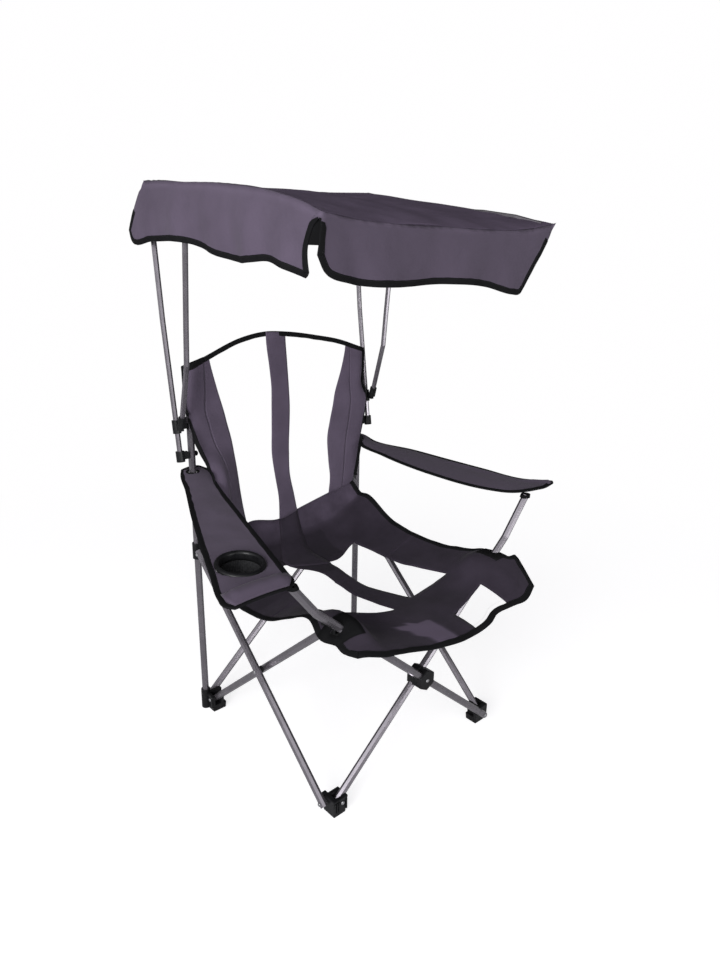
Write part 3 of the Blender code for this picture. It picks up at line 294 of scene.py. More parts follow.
def add_net(bm, points, skip=None, wear=0.0):
    """Adds a net to a mesh: its faces, its weave in metres, and its wear values, worn places and painted
    light and shade alike, paler above 0 and darker below.
    """
    weave = bm.loops.layers.uv.get("weave") or bm.loops.layers.uv.new("weave")
    worn_and_shaded = bm.verts.layers.float.get("wear") or bm.verts.layers.float.new("wear")
    wear = np.broadcast_to(wear, points.shape[:2])
    columns, rows = points.shape[:2]
    u = np.concatenate([[0], np.cumsum(np.linalg.norm(np.diff(points, axis=0), axis=-1).mean(axis=1))])
    v = np.concatenate([[0], np.cumsum(np.linalg.norm(np.diff(points, axis=1), axis=-1).mean(axis=0))])
    made = {}
    for i in range(columns - 1):
        for j in range(rows - 1):
            if skip is not None and skip(i, j):
                continue
            ring = [(i, j), (i + 1, j), (i + 1, j + 1), (i, j + 1)]
            for key in ring:
                if key not in made:
                    made[key] = bm.verts.new(at(*points[key]))
                    made[key][worn_and_shaded] = float(wear[key])
            face = bm.faces.new([made[key] for key in ring])
            face.smooth = True
            for loop, key in zip(face.loops, ring):
                loop[weave].uv = (u[key[0]], v[key[1]])


def put(name, data):
    """A new object in the scene, holding a mesh, a lamp or a lens."""
    made = bpy.data.objects.new(name, data)
    bpy.context.scene.collection.objects.link(made)
    return made


def new_piece(name, bm, materials, thick=0.0, join=0.0):
    """An object from a mesh, with its cloth's thickness, and with touching edges joined."""
    if join:
        bmesh.ops.remove_doubles(bm, verts=bm.verts, dist=join)
    mesh = bpy.data.meshes.new(name)
    bm.to_mesh(mesh)
    bm.free()
    for material in materials:
        mesh.materials.append(material)
    piece = put(name, mesh)
    if thick:
        body = piece.modifiers.new("thickness", "SOLIDIFY")
        body.thickness = thick
        body.offset = 0.0
    return piece


def even(path, normals, step, closed=False):
    """The same path with evenly spaced points, and its normals."""
    path = np.asarray(path, float)
    normals = np.broadcast_to(normals, path.shape)
    if closed:
        path, normals = np.concatenate([path, path[:1]]), np.concatenate([normals, normals[:1]])
    far = np.concatenate([[0], np.cumsum(np.linalg.norm(np.diff(path, axis=0), axis=1))])
    count = max(2, int(round(far[-1] / step)) + 1)
    stops = np.linspace(0, far[-1], count)
    if closed:
        stops = stops[:-1]
    line = np.stack([np.interp(stops, far, path[:, k]) for k in range(3)], axis=1)
    up = np.stack([np.interp(stops, far, normals[:, k]) for k in range(3)], axis=1)
    return line, up / np.linalg.norm(up, axis=1, keepdims=True)


def along_of(path, closed=False):
    """The unit direction of a path at each of its points."""
    if closed:
        ahead, behind = np.roll(path, -1, axis=0), np.roll(path, 1, axis=0)
    else:
        ahead = np.concatenate([path[1:], path[-1:]])
        behind = np.concatenate([path[:1], path[:-1]])
    along = ahead - behind
    return along / np.maximum(np.linalg.norm(along, axis=1, keepdims=True), 1e-9)


def inward_of(path, normals, inside, closed=False):
    """The unit direction from an edge into its cloth, which lies towards the inside points."""
    inward = np.cross(normals, along_of(path, closed))
    inward /= np.maximum(np.linalg.norm(inward, axis=1, keepdims=True), 1e-9)
    return inward * (1 if np.sum(inward * (np.asarray(inside) - path)) > 0 else -1)


def add_stitches(bm, path, normals, lift, slot_index, closed=False):
    """A row of stitches: one grain of thread after another, lying on the cloth."""
    line, up = even(path, normals, stitch_pitch, closed)
    along = along_of(line, closed)
    for point, direction, normal in zip(line + up * lift, along, up):
        side = np.cross(direction, normal) * stitch_radius
        raised = normal * stitch_radius
        corners = [point - direction * stitch_length / 2, point + side, point + raised, point - side,
                   point - raised, point + direction * stitch_length / 2]
        made = [bm.verts.new(at(*corner)) for corner in corners]
        for k in range(4):
            first, second = made[1 + k], made[1 + (k + 1) % 4]
            for tip, pair in ((made[0], (second, first)), (made[5], (first, second))):
                face = bm.faces.new((tip, *pair))
                face.smooth = True
                face.material_index = slot_index


def add_tape(bm, path, normals, inside, closed=False, width=tape_width, proud=tape_proud, stitched=True,
             narrow=0):
    """Tape folded over an edge, with its row of stitches. Its first few points can start out narrow."""
    weave = bm.loops.layers.uv.get("weave") or bm.loops.layers.uv.new("weave")
    line, up = even(path, normals, tape_step, closed)
    reach = even(inside, normals, tape_step, closed)[0]
    reach = reach[np.linspace(0, len(reach) - 1, len(line)).round().astype(int)]
    inward = inward_of(line, up, reach, closed)
    section = [(-0.001, 0.0), (-0.0006, 0.75), (0.0012, 1.0), (width * 0.55, 0.92), (width - 0.001, 0.95),
               (width, 0.5), (width, -0.5), (width - 0.001, -0.95), (width * 0.55, -0.92), (0.0012, -1.0),
               (-0.0006, -0.75)]
    rings, far = [], 0.0
    for k, (point, normal, into) in enumerate(zip(line, up, inward)):
        wander = 1.0 + 0.07 * noise.noise(Vector(point) * 45.0)
        if k < narrow:
            wander *= 0.25 + 0.75 * k / narrow
        places = [point + into * a * wander + normal * b * proud for a, b in section]
        rings.append([bm.verts.new(at(*place)) for place in places])
    count = len(rings)
    for k in range(count if closed else count - 1):
        step = np.linalg.norm(line[(k + 1) % count] - line[k])
        ring, following = rings[k], rings[(k + 1) % count]
        for m in range(len(section)):
            after = (m + 1) % len(section)
            face = bm.faces.new((ring[m], following[m], following[after], ring[after]))
            face.smooth = True
            spots = ((far, m), (far + step, m), (far + step, m + 1), (far, m + 1))
            for loop, (u, v) in zip(face.loops, spots):
                loop[weave].uv = (u, v * tape_rib)
        far += step
    if not closed:
        bm.faces.new(rings[0])
        bm.faces.new(rings[-1][::-1])
    if stitched:
        add_stitches(bm, line + inward * (width - stitch_inset), up, proud * 0.95, 1, closed)


def settle(piece, body, fold=None, stands_for=None):
    """A piece rides on its body, and gets a mesh of its own if an (axis, anchor, keep) is given, whose values
    are not used.
    """
    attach(piece, body)
    if fold:
        axis, anchor, keep = fold
        axis = tuple(Vector(axis).normalized())
        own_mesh(piece)
    if stands_for:
        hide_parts(stands_for)


def mm(*places):
    """Places written in millimetres, as tuples in metres."""
    return [tuple(value / 1000 for value in place) for place in places]


heights = [0.944, 0.932, 0.895, 0.836]
sleeve = 0.0121
left_edge = [(-post_place - sleeve, post_place, z) for z in heights]
left_edge += mm((-279.5, 254.5, 812), (-263.5, 242, 750), (-256, 208, 690), (-262, 178, 620),
                (-258, 158, 555), (-257, 142, 500))
left_front = [(-post_place, post_place - sleeve, z + 0.003) for z in heights]
left_front += mm((-266, 253.5, 812), (-248, 250, 751), (-232, 205, 690), (-235, 180, 620), (-238, 168, 555),
                 (-240, 157, 502))
left_inner = mm((-215, 269, 966), (-213, 269, 954), (-195, 271, 885), (-176, 270, 815), (-172, 269, 795),
                (-162, 266, 750), (-156, 258, 690), (-152, 250, 620), (-146, 245, 560), (-135, 248, 512))
middle_left = mm((-45, 274, 1009), (-45, 274, 998), (-34, 276, 910), (-29, 277, 860), (-30, 277, 815),
                 (-32, 276, 750), (-34, 274, 685), (-27, 271, 620), (-19, 267, 555), (-23, 260, 493.5))
middle_right = mm((17, 274, 1005), (17, 274, 994), (24, 276, 910), (28, 277, 860), (30, 277, 815),
                  (27, 276, 750), (23, 274, 685), (22, 271, 620), (33, 267, 560), (40, 260, 507.5))
right_inner = mm((220, 269, 966), (219, 269, 954), (205, 271, 885), (184, 272, 820), (179, 272, 795),
                 (168, 272, 750), (157, 271, 700), (160, 269, 630), (164, 267, 575), (153, 260, 530.5))
right_front = [(post_place, post_place - sleeve, z + 0.003) for z in heights]
right_front += mm((274, 254.5, 812), (268, 254, 750), (254, 254, 690), (244, 256, 625), (238, 260, 580),
                  (234, 262, 545))
right_edge = [(post_place + sleeve, post_place, z) for z in heights]
right_edge += mm((288, 256, 812), (281, 254.5, 750), (268, 254.5, 690), (258, 257, 625), (252, 260, 580),
                 (249, 262.5, 549))


def between(first, second, shares):
    return [tuple(Vector(a).lerp(Vector(b), share)) for a, b, share in zip(first, second, shares)]


hem_wear = 0.6
stitch_shares = (0.76, 0.74, 0.57, 0.42, 0.4, 0.38, 0.36, 0.36, 0.36, 0.36)
left_stitch = between(left_front, left_inner, stitch_shares)
right_stitch = between(right_front, right_inner, stitch_shares)
back_steps = [2, 5, 8, 3, 7, 7, 7, 7, 6]
squeeze_left, squeeze_right = -0.229, 0.229
fold_travel = 0.3742
back_fold = ((1, 0, 0), (squeeze_left, post_place, 0.7), 1 - fold_travel / (squeeze_right - squeeze_left))


def back_part(name, columns, column_steps, seed, body, fold, sleeves=None):
    """One upright band of the back, slightly crumpled, and a little paler along its top hem."""
    bm = bmesh.new()
    points = crumple(net(columns, column_steps, back_steps), 0.0022, 9.0, seed, (1.0, 1.0, 0.45))
    wear = np.zeros(points.shape[:2])
    wear[:, :3] = hem_wear
    add_net(bm, points, sleeves, wear)
    piece = new_piece(name, bm, [purple_cloth], cloth_thick)
    settle(piece, body, fold, "back_panel")
    return piece, points


sleeve_rows = sum(back_steps[:3])
hem_behind = 0.0016
hem_left = [(x, y + hem_behind, z) for x, y, z in left_stitch[:4]] + left_stitch[4:]
hem_right = [(x, y + hem_behind, z) for x, y, z in right_stitch[:4]] + right_stitch[4:]
behind_left = [(-post_place, post_place + sleeve, z) for z in heights] + left_front[4:]
behind_right = [(post_place, post_place + sleeve, z) for z in heights] + right_front[4:]
parts = [
    ("back_sleeve_left", [hem_left, behind_left, left_edge, left_front, left_stitch], [6, 6, 6, 7], 3.0,
     "rear_left_foot", None, lambda i, j: i < 12 and j >= sleeve_rows),
    ("back_band_left", [left_stitch, left_inner], [10], 3.0, "rear_left_foot", back_fold, None),
    ("back_band_middle", [middle_left, middle_right], [12], 17.0, "rear_left_foot", back_fold, None),
    ("back_band_right", [right_inner, right_stitch], [10], 29.0, "rear_left_foot", back_fold, None),
    ("back_sleeve_right", [right_stitch, right_front, right_edge, behind_right, hem_right], [7, 6, 6, 6],
     29.0, "rear_right_foot", None, lambda i, j: i >= 13 and j >= sleeve_rows),
]
flat_of_back = {"back_sleeve_left": ((0.115, 0.455), 0.035), "back_band_left": ((0.06, 0.475), 0.0265),
                "back_band_middle": ((0.062, 0.512), 0.0295), "back_band_right": ((0.06, 0.455), 0.021),
                "back_sleeve_right": ((0.115, 0.42), 0.0285)}
back = {part[0]: back_part(*part) for part in parts}


def trim(name, body, fold, rows_of_tape=(), rows_of_stitches=(), thread=purple_thread):
    """The tape and the stitches of one piece of cloth, in one mesh that moves as the cloth does."""
    bm = bmesh.new()
    for tape in rows_of_tape:
        add_tape(bm, **tape)
    for path, normals in rows_of_stitches:
        add_stitches(bm, path, normals, cloth_thick / 2 + stitch_radius * 0.4, 2)
    piece = new_piece(name, bm, [black_tape, black_thread, thread])
    settle(piece, body, fold)
    return piece


def outward_of(points, sign=1):
    """A net's normals, turned so that most of them look to the chair's front, or up where it lies flat."""
    normals = facing(points)
    lean = normals[..., 2].mean() - normals[..., 1].mean()
    return normals * (sign if lean > 0 else -sign)


def edge_tape(points, column=None, row=None, inside=None, **more):
    """The values of a tape along one column or row of a net; its cloth lies towards another one."""
    normals = outward_of(points)
    if column is not None:
        return dict(path=points[column], normals=normals[column], inside=points[inside], **more)
    return dict(path=points[:, row], normals=normals[:, row], inside=points[:, inside], **more)


def net_row(points, row, part=slice(None)):
    return points[part, row], outward_of(points)[part, row]


def net_column(points, column, part=slice(None)):
    return points[column, part], outward_of(points)[column, part]


arch = spread([left_stitch[0], left_inner[0], (-0.119, 0.2725, 0.999), middle_left[0], middle_right[0],
               (0.114, 0.2725, 0.99), right_inner[0], right_stitch[0]], [2, 8, 6, 6, 6, 8, 2])
arch_tape = dict(path=arch, normals=np.tile((0.0, -1.0, 0.0), (len(arch), 1)), inside=arch - (0, 0, 0.1))
left_net, right_net = back["back_sleeve_left"][1], back["back_sleeve_right"][1]
pocket_row = back_steps[0] + 2
tapes_of_back = {
    "back_sleeve_left": [edge_tape(left_net, row=0, inside=4), edge_tape(left_net, column=12, inside=16)],
    "back_band_middle": [arch_tape],
    "back_sleeve_right": [edge_tape(right_net, row=0, inside=4), edge_tape(right_net, column=13, inside=9)],
}
for name, _, _, _, body, fold, _ in parts:
    piece, points = back[name]
    seams = [net_row(points, -2)]
    if name == "back_band_left":
        seams += [net_column(points, 0, slice(1, sleeve_rows + 6)), net_row(points, pocket_row)]
    elif name == "back_band_right":
        seams += [net_column(points, -1, slice(1, sleeve_rows + 6)), net_row(points, pocket_row)]
    elif name == "back_band_middle":
        seams += [net_row(points, 5), net_row(points, 33)]
    else:
        seams += [net_row(points, pocket_row, slice(14, 25) if "left" in name else slice(0, 12))]
    edging = trim(name + "_tape", body, fold, tapes_of_back.get(name, ()), seams)
    flat, area = flat_of_back[name]

# Seat panel
# The same cloth slung between the hubs: a lumbar band, side bands, a strap up the middle and a wide front
# hem. Tape binds its outer edge and alone spans the opening at the front right.
seat_rows = [
    [tuple(Vector(column[-1]) + Vector((0, 0.0018, 0.005))) for column in
     (left_edge, left_front, left_inner, middle_left, middle_right, right_inner, right_front, right_edge)],
    mm((-259, 135, 450), (-209, 178, 453), (-128, 226, 458), (-40, 234, 453), (33, 234, 460),
       (147, 232, 476), (212, 233, 502), (256, 233, 521)),
    mm((-261, 130, 410), (-208, 160, 415), (-113, 183, 427), (-70, 185, 427), (12, 172, 428),
       (132, 168, 443), (210, 185, 485), (262, 195, 518)),
    mm((-262, 115, 378), (-202, 125, 393), (-100, 140, 419), (-87, 140, 419), (13, 88, 419),
       (125, 113, 434), (205, 118, 457), (262, 119, 479)),
    mm((-262, 50, 375), (-205, 55, 387), (-127, 57, 408), (-43, 60, 417), (12, 50, 417),
       (131, 55, 430), (205, 65, 447), (262, 65, 464)),
    mm((-262, -20, 391), (-210, -15, 398), (-149, -10, 412), (-48, -20, 415), (5, -10, 416),
       (136, -5, 428), (205, 0, 443), (262, 0, 458)),
    mm((-262, -90, 424), (-215, -80, 421), (-165, -75, 416), (-56, -98, 416), (0, -80, 416),
       (141, -70, 429), (208, -70, 444), (264, -70, 458)),
    mm((-262, -150, 456), (-220, -140, 448), (-172, -125, 427), (-41, -217, 422), (35, -195, 420),
       (165, -191, 441), (215, -182, 462), (268, -179, 476)),
    mm((-272, -223, 489), (-224, -223, 489), (-172, -205, 433), (-38, -275, 423), (39, -262, 423),
       (169, -243, 446), (224, -225, 489), (274, -225, 490)),
    mm((-276, -290, 489), (-224, -290, 489), (-172, -280, 437), (-36, -330, 423), (43, -323, 426),
       (173, -293, 450), (224, -290, 489), (276, -290, 490)),
    mm((-275, -329, 461), (-215, -340, 443), (-172, -350, 432), (-35, -389, 419), (40, -392, 419),
       (154, -388, 443), (212, -388, 452), (285, -338, 472)),
    mm((-264, -340, 452), (-213, -354, 435), (-172, -362, 429), (-35, -398, 416), (40, -401, 416),
       (152, -400, 440), (205, -406, 443), (262, -384, 449)),
]
seat_column_steps = [5, 6, 10, 6, 10, 6, 5]
seat_row_steps = [4, 4, 4, 6, 6, 6, 5, 6, 6, 5, 2]
seat_openings = {(c, r) for c in (2, 4) for r in range(3, 7)} | {(4, 9)}
seat_cut = sum(seat_row_steps[:5])
arm_tube_y = {-1: -0.2805, 1: -0.2585}
slot_inner, slot_outer, slot_half_width = 0.262, 0.287, 0.011
hub_y, hub_reach, hub_columns = -0.262, 0.055, 5
hub_outward, hub_drop = 0.022, 0.03
dent_x, dent_reach, dent_depth, dent_rows = 0.116, 0.024, 0.01, 4
seat_net = net([list(line) for line in zip(*seat_rows)], seat_column_steps, seat_row_steps, (), (1,))
seat_net = crumple(seat_net, 0.003, 11.0, 41.0)
for index in np.ndindex(seat_net.shape[:2]):
    x, y = seat_net[index][:2]
    to_side = max(0, hub_columns - index[0]) / hub_columns
    over_hub = math.exp(-((y - hub_y) / hub_reach) ** 2) * to_side
    seat_net[index][0] -= hub_outward * over_hub
    seat_net[index][2] -= hub_drop * over_hub * to_side ** 2
    if index[1] >= seat_net.shape[1] - dent_rows:
        seat_net[index][1] += dent_depth * math.exp(-((x - dent_x) / dent_reach) ** 2)
column_of = np.repeat(np.arange(len(seat_column_steps)), seat_column_steps)
row_of = np.repeat(np.arange(len(seat_row_steps)), seat_row_steps)


def within(place, outline):
    """Whether a place lies inside an outline that turns the same way all round."""
    turns = [(bx - ax) * (place[1] - ay) - (by - ay) * (place[0] - ax)
             for (ax, ay), (bx, by) in zip(outline, outline[1:] + outline[:1])]
    return min(turns) > 0 or max(turns) < 0


def in_arm_slot(place):
    side = -1 if place[0] < 0 else 1
    beside_tube = abs(place[1] - arm_tube_y[side]) < slot_half_width
    return slot_inner < abs(place[0]) < slot_outer and beside_tube


def middle_of(points, i, j):
    """The middle of one face of a net."""
    return points[i:i + 2, j:j + 2].reshape(-1, 3).mean(axis=0)


def seat_skip(i, j):
    return (column_of[i], row_of[j]) in seat_openings or in_arm_slot(middle_of(seat_net, i, j))


seat_tape = 0.014
seat_fold = ((1, 0, 0), (-0.27, 0.0, 0.45), 1 - fold_travel / 0.54)
hub_patches = [(slice(0, 6), slice(43, 50)), (slice(-5, None), slice(41, 48))]
strap_columns, strap_rows = slice(21, 28), slice(0, 14)
tabs = [mm((-279, 255, 500), (-274, 215, 496), (-264, 165, 488), (-260, 135, 478)),
        mm((279, 255, 502), (276, 235, 508), (268, 215, 512), (263, 195, 510))]
tab_width = 0.022
patch_lift, strap_lift, strap_seam_lift = 0.0018, 0.0016, 0.0022


def raised(part, lift):
    """A block of the seat's net lifted off the cloth, for a piece that is sewn on over it."""
    return seat_net[part] + outward_of(seat_net)[part] * lift


def sew_on(name, body):
    """What is sewn on a half of the seat: its corner patches, or its tabs and the end of the strap."""
    bm = bmesh.new()
    if name == "seat_front":
        for part in hub_patches:
            flat = seat_net[part]
            add_net(bm, raised(part, patch_lift), lambda i, j: in_arm_slot(middle_of(flat, i, j)))
        materials = [black_webbing]
    else:
        add_net(bm, raised((strap_columns, strap_rows), strap_lift), None, -0.1)
        strap_faces = len(bm.faces)
        for tab in tabs:
            line = spread(tab, [6, 6, 6])
            add_net(bm, np.stack([line, line - (0, 0, tab_width)]))
        materials = [shaded_seat_cloth, black_webbing]
        bm.faces.ensure_lookup_table()
        for face in bm.faces[strap_faces:]:
            face.material_index = 1
    piece = new_piece(name + "_patches", bm, materials, 0.0014)
    settle(piece, body, seat_fold)
    return piece


# Painted light and shade on the seat: the rear rows are painted paler where its painted shade lifts, the
# lumbar band is painted darker as painted shade, and the front rows are a touch paler; the pale corner is a
# worn place.
seat_wear_and_shade = np.zeros(seat_net.shape[:2])
seat_wear_and_shade[:, -8:] = 0.1
seat_wear_and_shade[:, 0:5] = 1.5
seat_wear_and_shade[:, 5] = 0.4
seat_wear_and_shade[:33, 6:19] = -1.3
pale_corner = mm((-100, -270), (-15, -305), (-20, -400), (-60, -392))
for index in np.ndindex(seat_net.shape[:2]):
    if within(seat_net[index][:2], pale_corner):
        seat_wear_and_shade[index] = 3.0
lap_drop = 0.0015
seat_parts = [("seat_rear", slice(0, seat_cut + 1), "rear_left_hub", (0.52, 0.35), 0.138),
              ("seat_front", slice(seat_cut - 1, None), "front_left_hub", (0.52, 0.4), 0.156)]
for name, part, body, flat, area in seat_parts:
    bm = bmesh.new()
    first = part.start
    half_seat = seat_net[:, part].copy()
    if name == "seat_front":
        half_seat[:, 0, 2] -= lap_drop
    add_net(bm, half_seat, lambda i, j: seat_skip(i, j + first), seat_wear_and_shade[:, part])
    piece = new_piece(name, bm, [shaded_seat_cloth], cloth_thick)
    settle(piece, body, seat_fold, "seat_panel")
    tapes = [edge_tape(seat_net[:, part], column=0, inside=3, width=seat_tape),
             edge_tape(seat_net[:, part], column=-1, inside=-4, width=seat_tape)]
    if name == "seat_front":
        tapes.append(edge_tape(seat_net[:, part], row=-1, inside=-4, width=seat_tape))
        seams = [net_row(seat_net, -4), net_row(seat_net, -14, slice(0, 21))]
    else:
        strap = raised((strap_columns, strap_rows), strap_seam_lift)
        seams = [net_row(seat_net, 4), net_row(seat_net, 12, slice(5, 37)),
                 net_column(seat_net, 37, slice(0, 12))]
        seams += [net_row(strap, 6), net_row(strap, 12), net_column(strap, 1), net_column(strap, 5)]
    edging = trim(name + "_tape", body, seat_fold, tapes, seams, black_thread)
    sewn_on = [edging, sew_on(name, body)]

# Armrests
# Two panels of the same cloth slung from the posts to the ends of the arm tubes, bound with tape all round.
# The left one has an eyelet for its post and a sewn tunnel for its tube; the right one hooks round its post.
arm_rear, arm_fall = 0.68, 0.098
arm_columns = 22
arm_crown = 0.003
tunnel_y, tunnel_reach, tunnel_rise = -0.266, 0.019, 0.007
ridge_start, ridge_reach, ridge_rise = 0.12, 0.011, 0.006
tip_y, tip_reach, tip_rise = -0.215, 0.06, 0.01
overlap_lift, overlap_crown = 0.003, 0.005
left_arm_outer = mm((-288, 301), (-304.5, 274), (-337, 194), (-396, 61), (-437, -38), (-493, -179),
                    (-520, -247), (-525, -276), (-513, -293.5))
left_arm_inner = mm((-237, 306), (-227.5, 274), (-256, 186), (-290, 53), (-312, -36), (-349, -182),
                    (-366, -248), (-373.5, -276), (-393, -292.5))
right_arm_outer = mm((295, 304), (306.5, 285), (306, 262), (303, 246), (301, 229), (350, 119), (385, 15),
                     (419, -90), (451, -191), (495, -242), (497, -256))
right_arm_inner = mm((272, 305), (282.2, 285), (282.2, 258), (270, 246), (254, 238), (240, 127), (255, -21),
                     (307, -180), (384, -262), (446, -278), (480, -272))
post_hole = 0.0125
eyelet_radius = 0.0112
pocket_radius, pocket_fall, pocket_flare, pocket_lean = 0.0112, 0.008, 0.1, 0.35
tube_ends = {"armrest_left": (-0.384, -0.2805), "armrest_right": (0.379, -0.2585)}
ring_low, ring_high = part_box("cup_ring")
cup_x, cup_y = (ring_low.x + ring_high.x) / 2 - middle_x, (ring_low.y + ring_high.y) / 2 - middle_y
cup_hole = (ring_high.x - ring_low.x) / 2 + 0.0004


def arm_height(y):
    return arm_rear + arm_fall * (y - post_place)


def arm_net(outer, inner, row_steps, seed):
    """A panel between its outer and its inner edge, from rear to front, crowned and a little crumpled."""
    rails = [[(x, y, arm_height(y)) for x, y in rail] for rail in (outer, inner)]
    points = net(rails, [arm_columns], row_steps)
    across = np.sin(np.pi * np.linspace(0, 1, points.shape[0]))[:, None]
    along = np.sin(np.pi * np.linspace(0, 1, points.shape[1]))[None, :]
    points[..., 2] += arm_crown * (across - along)
    return points + (crumple(points, 0.0018, 13.0, seed) - points) * inside_tape(points)[..., None]


def inside_tape(points):
    """For each point of a net, 0 under the tape round its edge, rising to 1 further in."""
    shape = points.shape[:2]
    steps = [np.minimum(np.arange(count), np.arange(count)[::-1]) for count in shape]
    return np.clip((np.minimum(steps[0][:, None], steps[1][None, :]) - 1.6) / 2.5, 0, 1)


def pierced(points, holes):
    """A net with round holes: points inside one go out to its rim, and faces all inside it are left out."""
    moved, inside = points.copy(), np.zeros(points.shape[:2], bool)
    for x, y, radius in holes:
        away = points[..., :2] - (x, y)
        far = np.linalg.norm(away, axis=-1)
        in_hole = far < radius
        inside |= in_hole
        moved[in_hole, :2] = (x, y) + away[in_hole] * (radius / np.maximum(far[in_hole], 1e-6))[:, None]
    return moved, lambda i, j: inside[i:i + 2, j:j + 2].all()


def outline_of(points):
    """The edge of a net, once round."""
    return np.concatenate([points[:, 0], points[-1, 1:], points[::-1, -1][1:], points[0, ::-1][1:-1]])


def ring_of(x, y, radius, lift, count=28):
    turns = np.linspace(0, 2 * np.pi, count, endpoint=False)
    ys = y + radius * np.sin(turns)
    return np.stack([x + radius * np.cos(turns), ys, arm_height(ys) + lift], axis=1)


left_arm = arm_net(left_arm_outer, left_arm_inner, [5, 15, 22, 16, 24, 13, 5, 4], 5.0)
tunnel = np.clip(1 - ((left_arm[..., 1] - tunnel_y) / tunnel_reach) ** 2, 0, 1) ** 0.5
left_arm[..., 2] += tunnel_rise * tunnel * inside_tape(left_arm)
right_arm = arm_net(right_arm_outer, right_arm_inner, [4, 5, 3, 3, 18, 18, 18, 18, 12, 5], 23.0)
tube_start, tube_end = np.array((0.34, 0.06)), np.array((0.47, -0.25))
run = (tube_end - tube_start) / np.linalg.norm(tube_end - tube_start)
offset = right_arm[..., :2] - tube_start
beside = np.abs(offset[..., 0] * run[1] - offset[..., 1] * run[0])
along_tube = np.clip((offset @ run) / ridge_start, 0, 1)
ridge = ridge_rise * np.exp(-(beside / ridge_reach) ** 2)
right_arm[..., 2] += ridge * along_tube * inside_tape(right_arm)
right_arm[..., 2] += tip_rise * np.clip((tip_y - right_arm[..., 1]) / tip_reach, 0, 1) ** 2
arm_up = np.array((0.0, -arm_fall, 1.0)) / math.hypot(1.0, arm_fall)
arms = [("armrest_left", left_arm, [(-post_place, post_place, post_hole), (cup_x, cup_y, cup_hole)],
         "front_outer", (cup_x, cup_y, arm_rear), 0.16, (0.6, 0.15), 0.068),
        ("armrest_right", right_arm, [], "front_inner", (0.46, -0.25, arm_rear), 0.2, (0.6, 0.14),
         0.06)]
for name, points, holes, body, anchor, keep, flat, area in arms:
    bm = bmesh.new()
    cloth, skip = pierced(points, holes)
    # Painted shade: both panels are painted darker, the right one much more, as it tilts away from the light.
    add_net(bm, cloth, skip, -0.3 if name == "armrest_left" else -1.2)
    if name == "armrest_left":
        seam_row = int(np.argmin(np.abs(points[11, :, 1] + 0.25)))
        over = points[1:-1, seam_row:-1].copy()
        over[..., 2] += overlap_lift + overlap_crown * np.sin(np.pi * np.linspace(0.1, 1, over.shape[1]))
        # Painted shade: the overlapping pocket strip is painted darker still.
        add_net(bm, over, None, -0.9)
    piece = new_piece(name + "_cloth", bm, [purple_cloth], 0.0016)
    to_anchor = (anchor[0] - math.copysign(post_place, anchor[0]), anchor[1] - post_place, 0.0)
    fold = (to_anchor, anchor, keep)
    settle(piece, body, fold, name)
    edge_path = outline_of(points)
    centre = np.tile(points.mean(axis=(0, 1)), (len(edge_path), 1))
    tapes = [dict(path=edge_path, normals=arm_up, inside=centre, closed=True, proud=0.002)]
    seams = []
    if name == "armrest_left":
        eyelet = ring_of(-post_place, post_place, eyelet_radius, 0.0018)
        outside = ring_of(-post_place, post_place, 0.03, 0.0)
        tapes.append(dict(path=eyelet, normals=arm_up, inside=outside, closed=True, width=0.0065,
                          proud=0.0022, stitched=False))
        seams = [(over[1:-1, 1] + (0, 0, 0.0009), arm_up)]
    edging = trim(name + "_tape", body, fold, tapes, seams)
    end_x, end_y = tube_ends[name]
    bm = bmesh.new()
    turns = np.linspace(0, 2 * np.pi, 25)
    lean = math.copysign(pocket_lean, end_x)
    wall = np.empty((len(turns), 5, 3))
    for j, down in enumerate(np.linspace(0, 1, 5)):
        radius = pocket_radius * (1 + pocket_flare * down)
        wall[:, j, 0] = end_x + radius * np.cos(turns) - lean * pocket_fall * down
        wall[:, j, 1] = end_y + radius * np.sin(turns)
        wall[:, j, 2] = arm_height(end_y) - 0.003 - pocket_fall * down
    add_net(bm, wall)
    pocket = new_piece(name + "_pocket", bm, [black_webbing], 0.0012, join=0.00002)
    settle(pocket, body)

# Cup holder
# A ring moulded in black nylon, with a rounded lip, is pressed into the hole in the left armrest. A bag of
# black polyester net is sewn in under it and takes the cup.
lip = mm((40.5, -12), (39.8, -2), (40, 2), (41.2, 4.8), (43.6, 6.4), (46.2, 6.4), (48.6, 5), (50, 2.8),
         (50.2, 1), (48.4, 0.4), (47, -1), (45, -6), (44, -12), (40.5, -12))
turns = np.linspace(0, 2 * np.pi, 73)
lip_steps, lip_creases = [2] * 8 + [1] * 4 + [2], (8, 9, 12)
section = spread(lip, lip_steps, lip_creases)
ring = np.empty((len(turns), len(section), 3))
for j, (radius, rise) in enumerate(section):
    y = cup_y + radius * np.sin(turns)
    ring[:, j] = np.stack([cup_x + radius * np.cos(turns), y, arm_height(y) + rise], axis=1)
bm = bmesh.new()
add_net(bm, ring[:, ::-1])
cup_ring = new_piece("cup_ring_lip", bm, [moulding], join=0.00001)
settle(cup_ring, "front_outer", None, "cup_ring")
bag_low, bag_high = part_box("cup_bag")
bag_top_radius = (bag_high.x - bag_low.x) / 2 - 0.0004
net_pitch = 0.0026
black_net, tree, shader = new_material("black net", darker(tape_black, 1.6), 0.75)
strands = [maths(tree, "ABSOLUTE", wave) for wave in thread_waves(tree, net_pitch)[1]]
gaps = maths(tree, "MULTIPLY", *strands)
shade_between(tree, shader, gaps, darker(tape_black, 3.4), darker(tape_black, 0.5))
relief = add_node(tree, "Bump", Strength=0.9, Distance=0.0006, invert=True)
tree.links.new(gaps, relief.inputs["Height"])
wire(relief, "Normal", shader, "Normal")
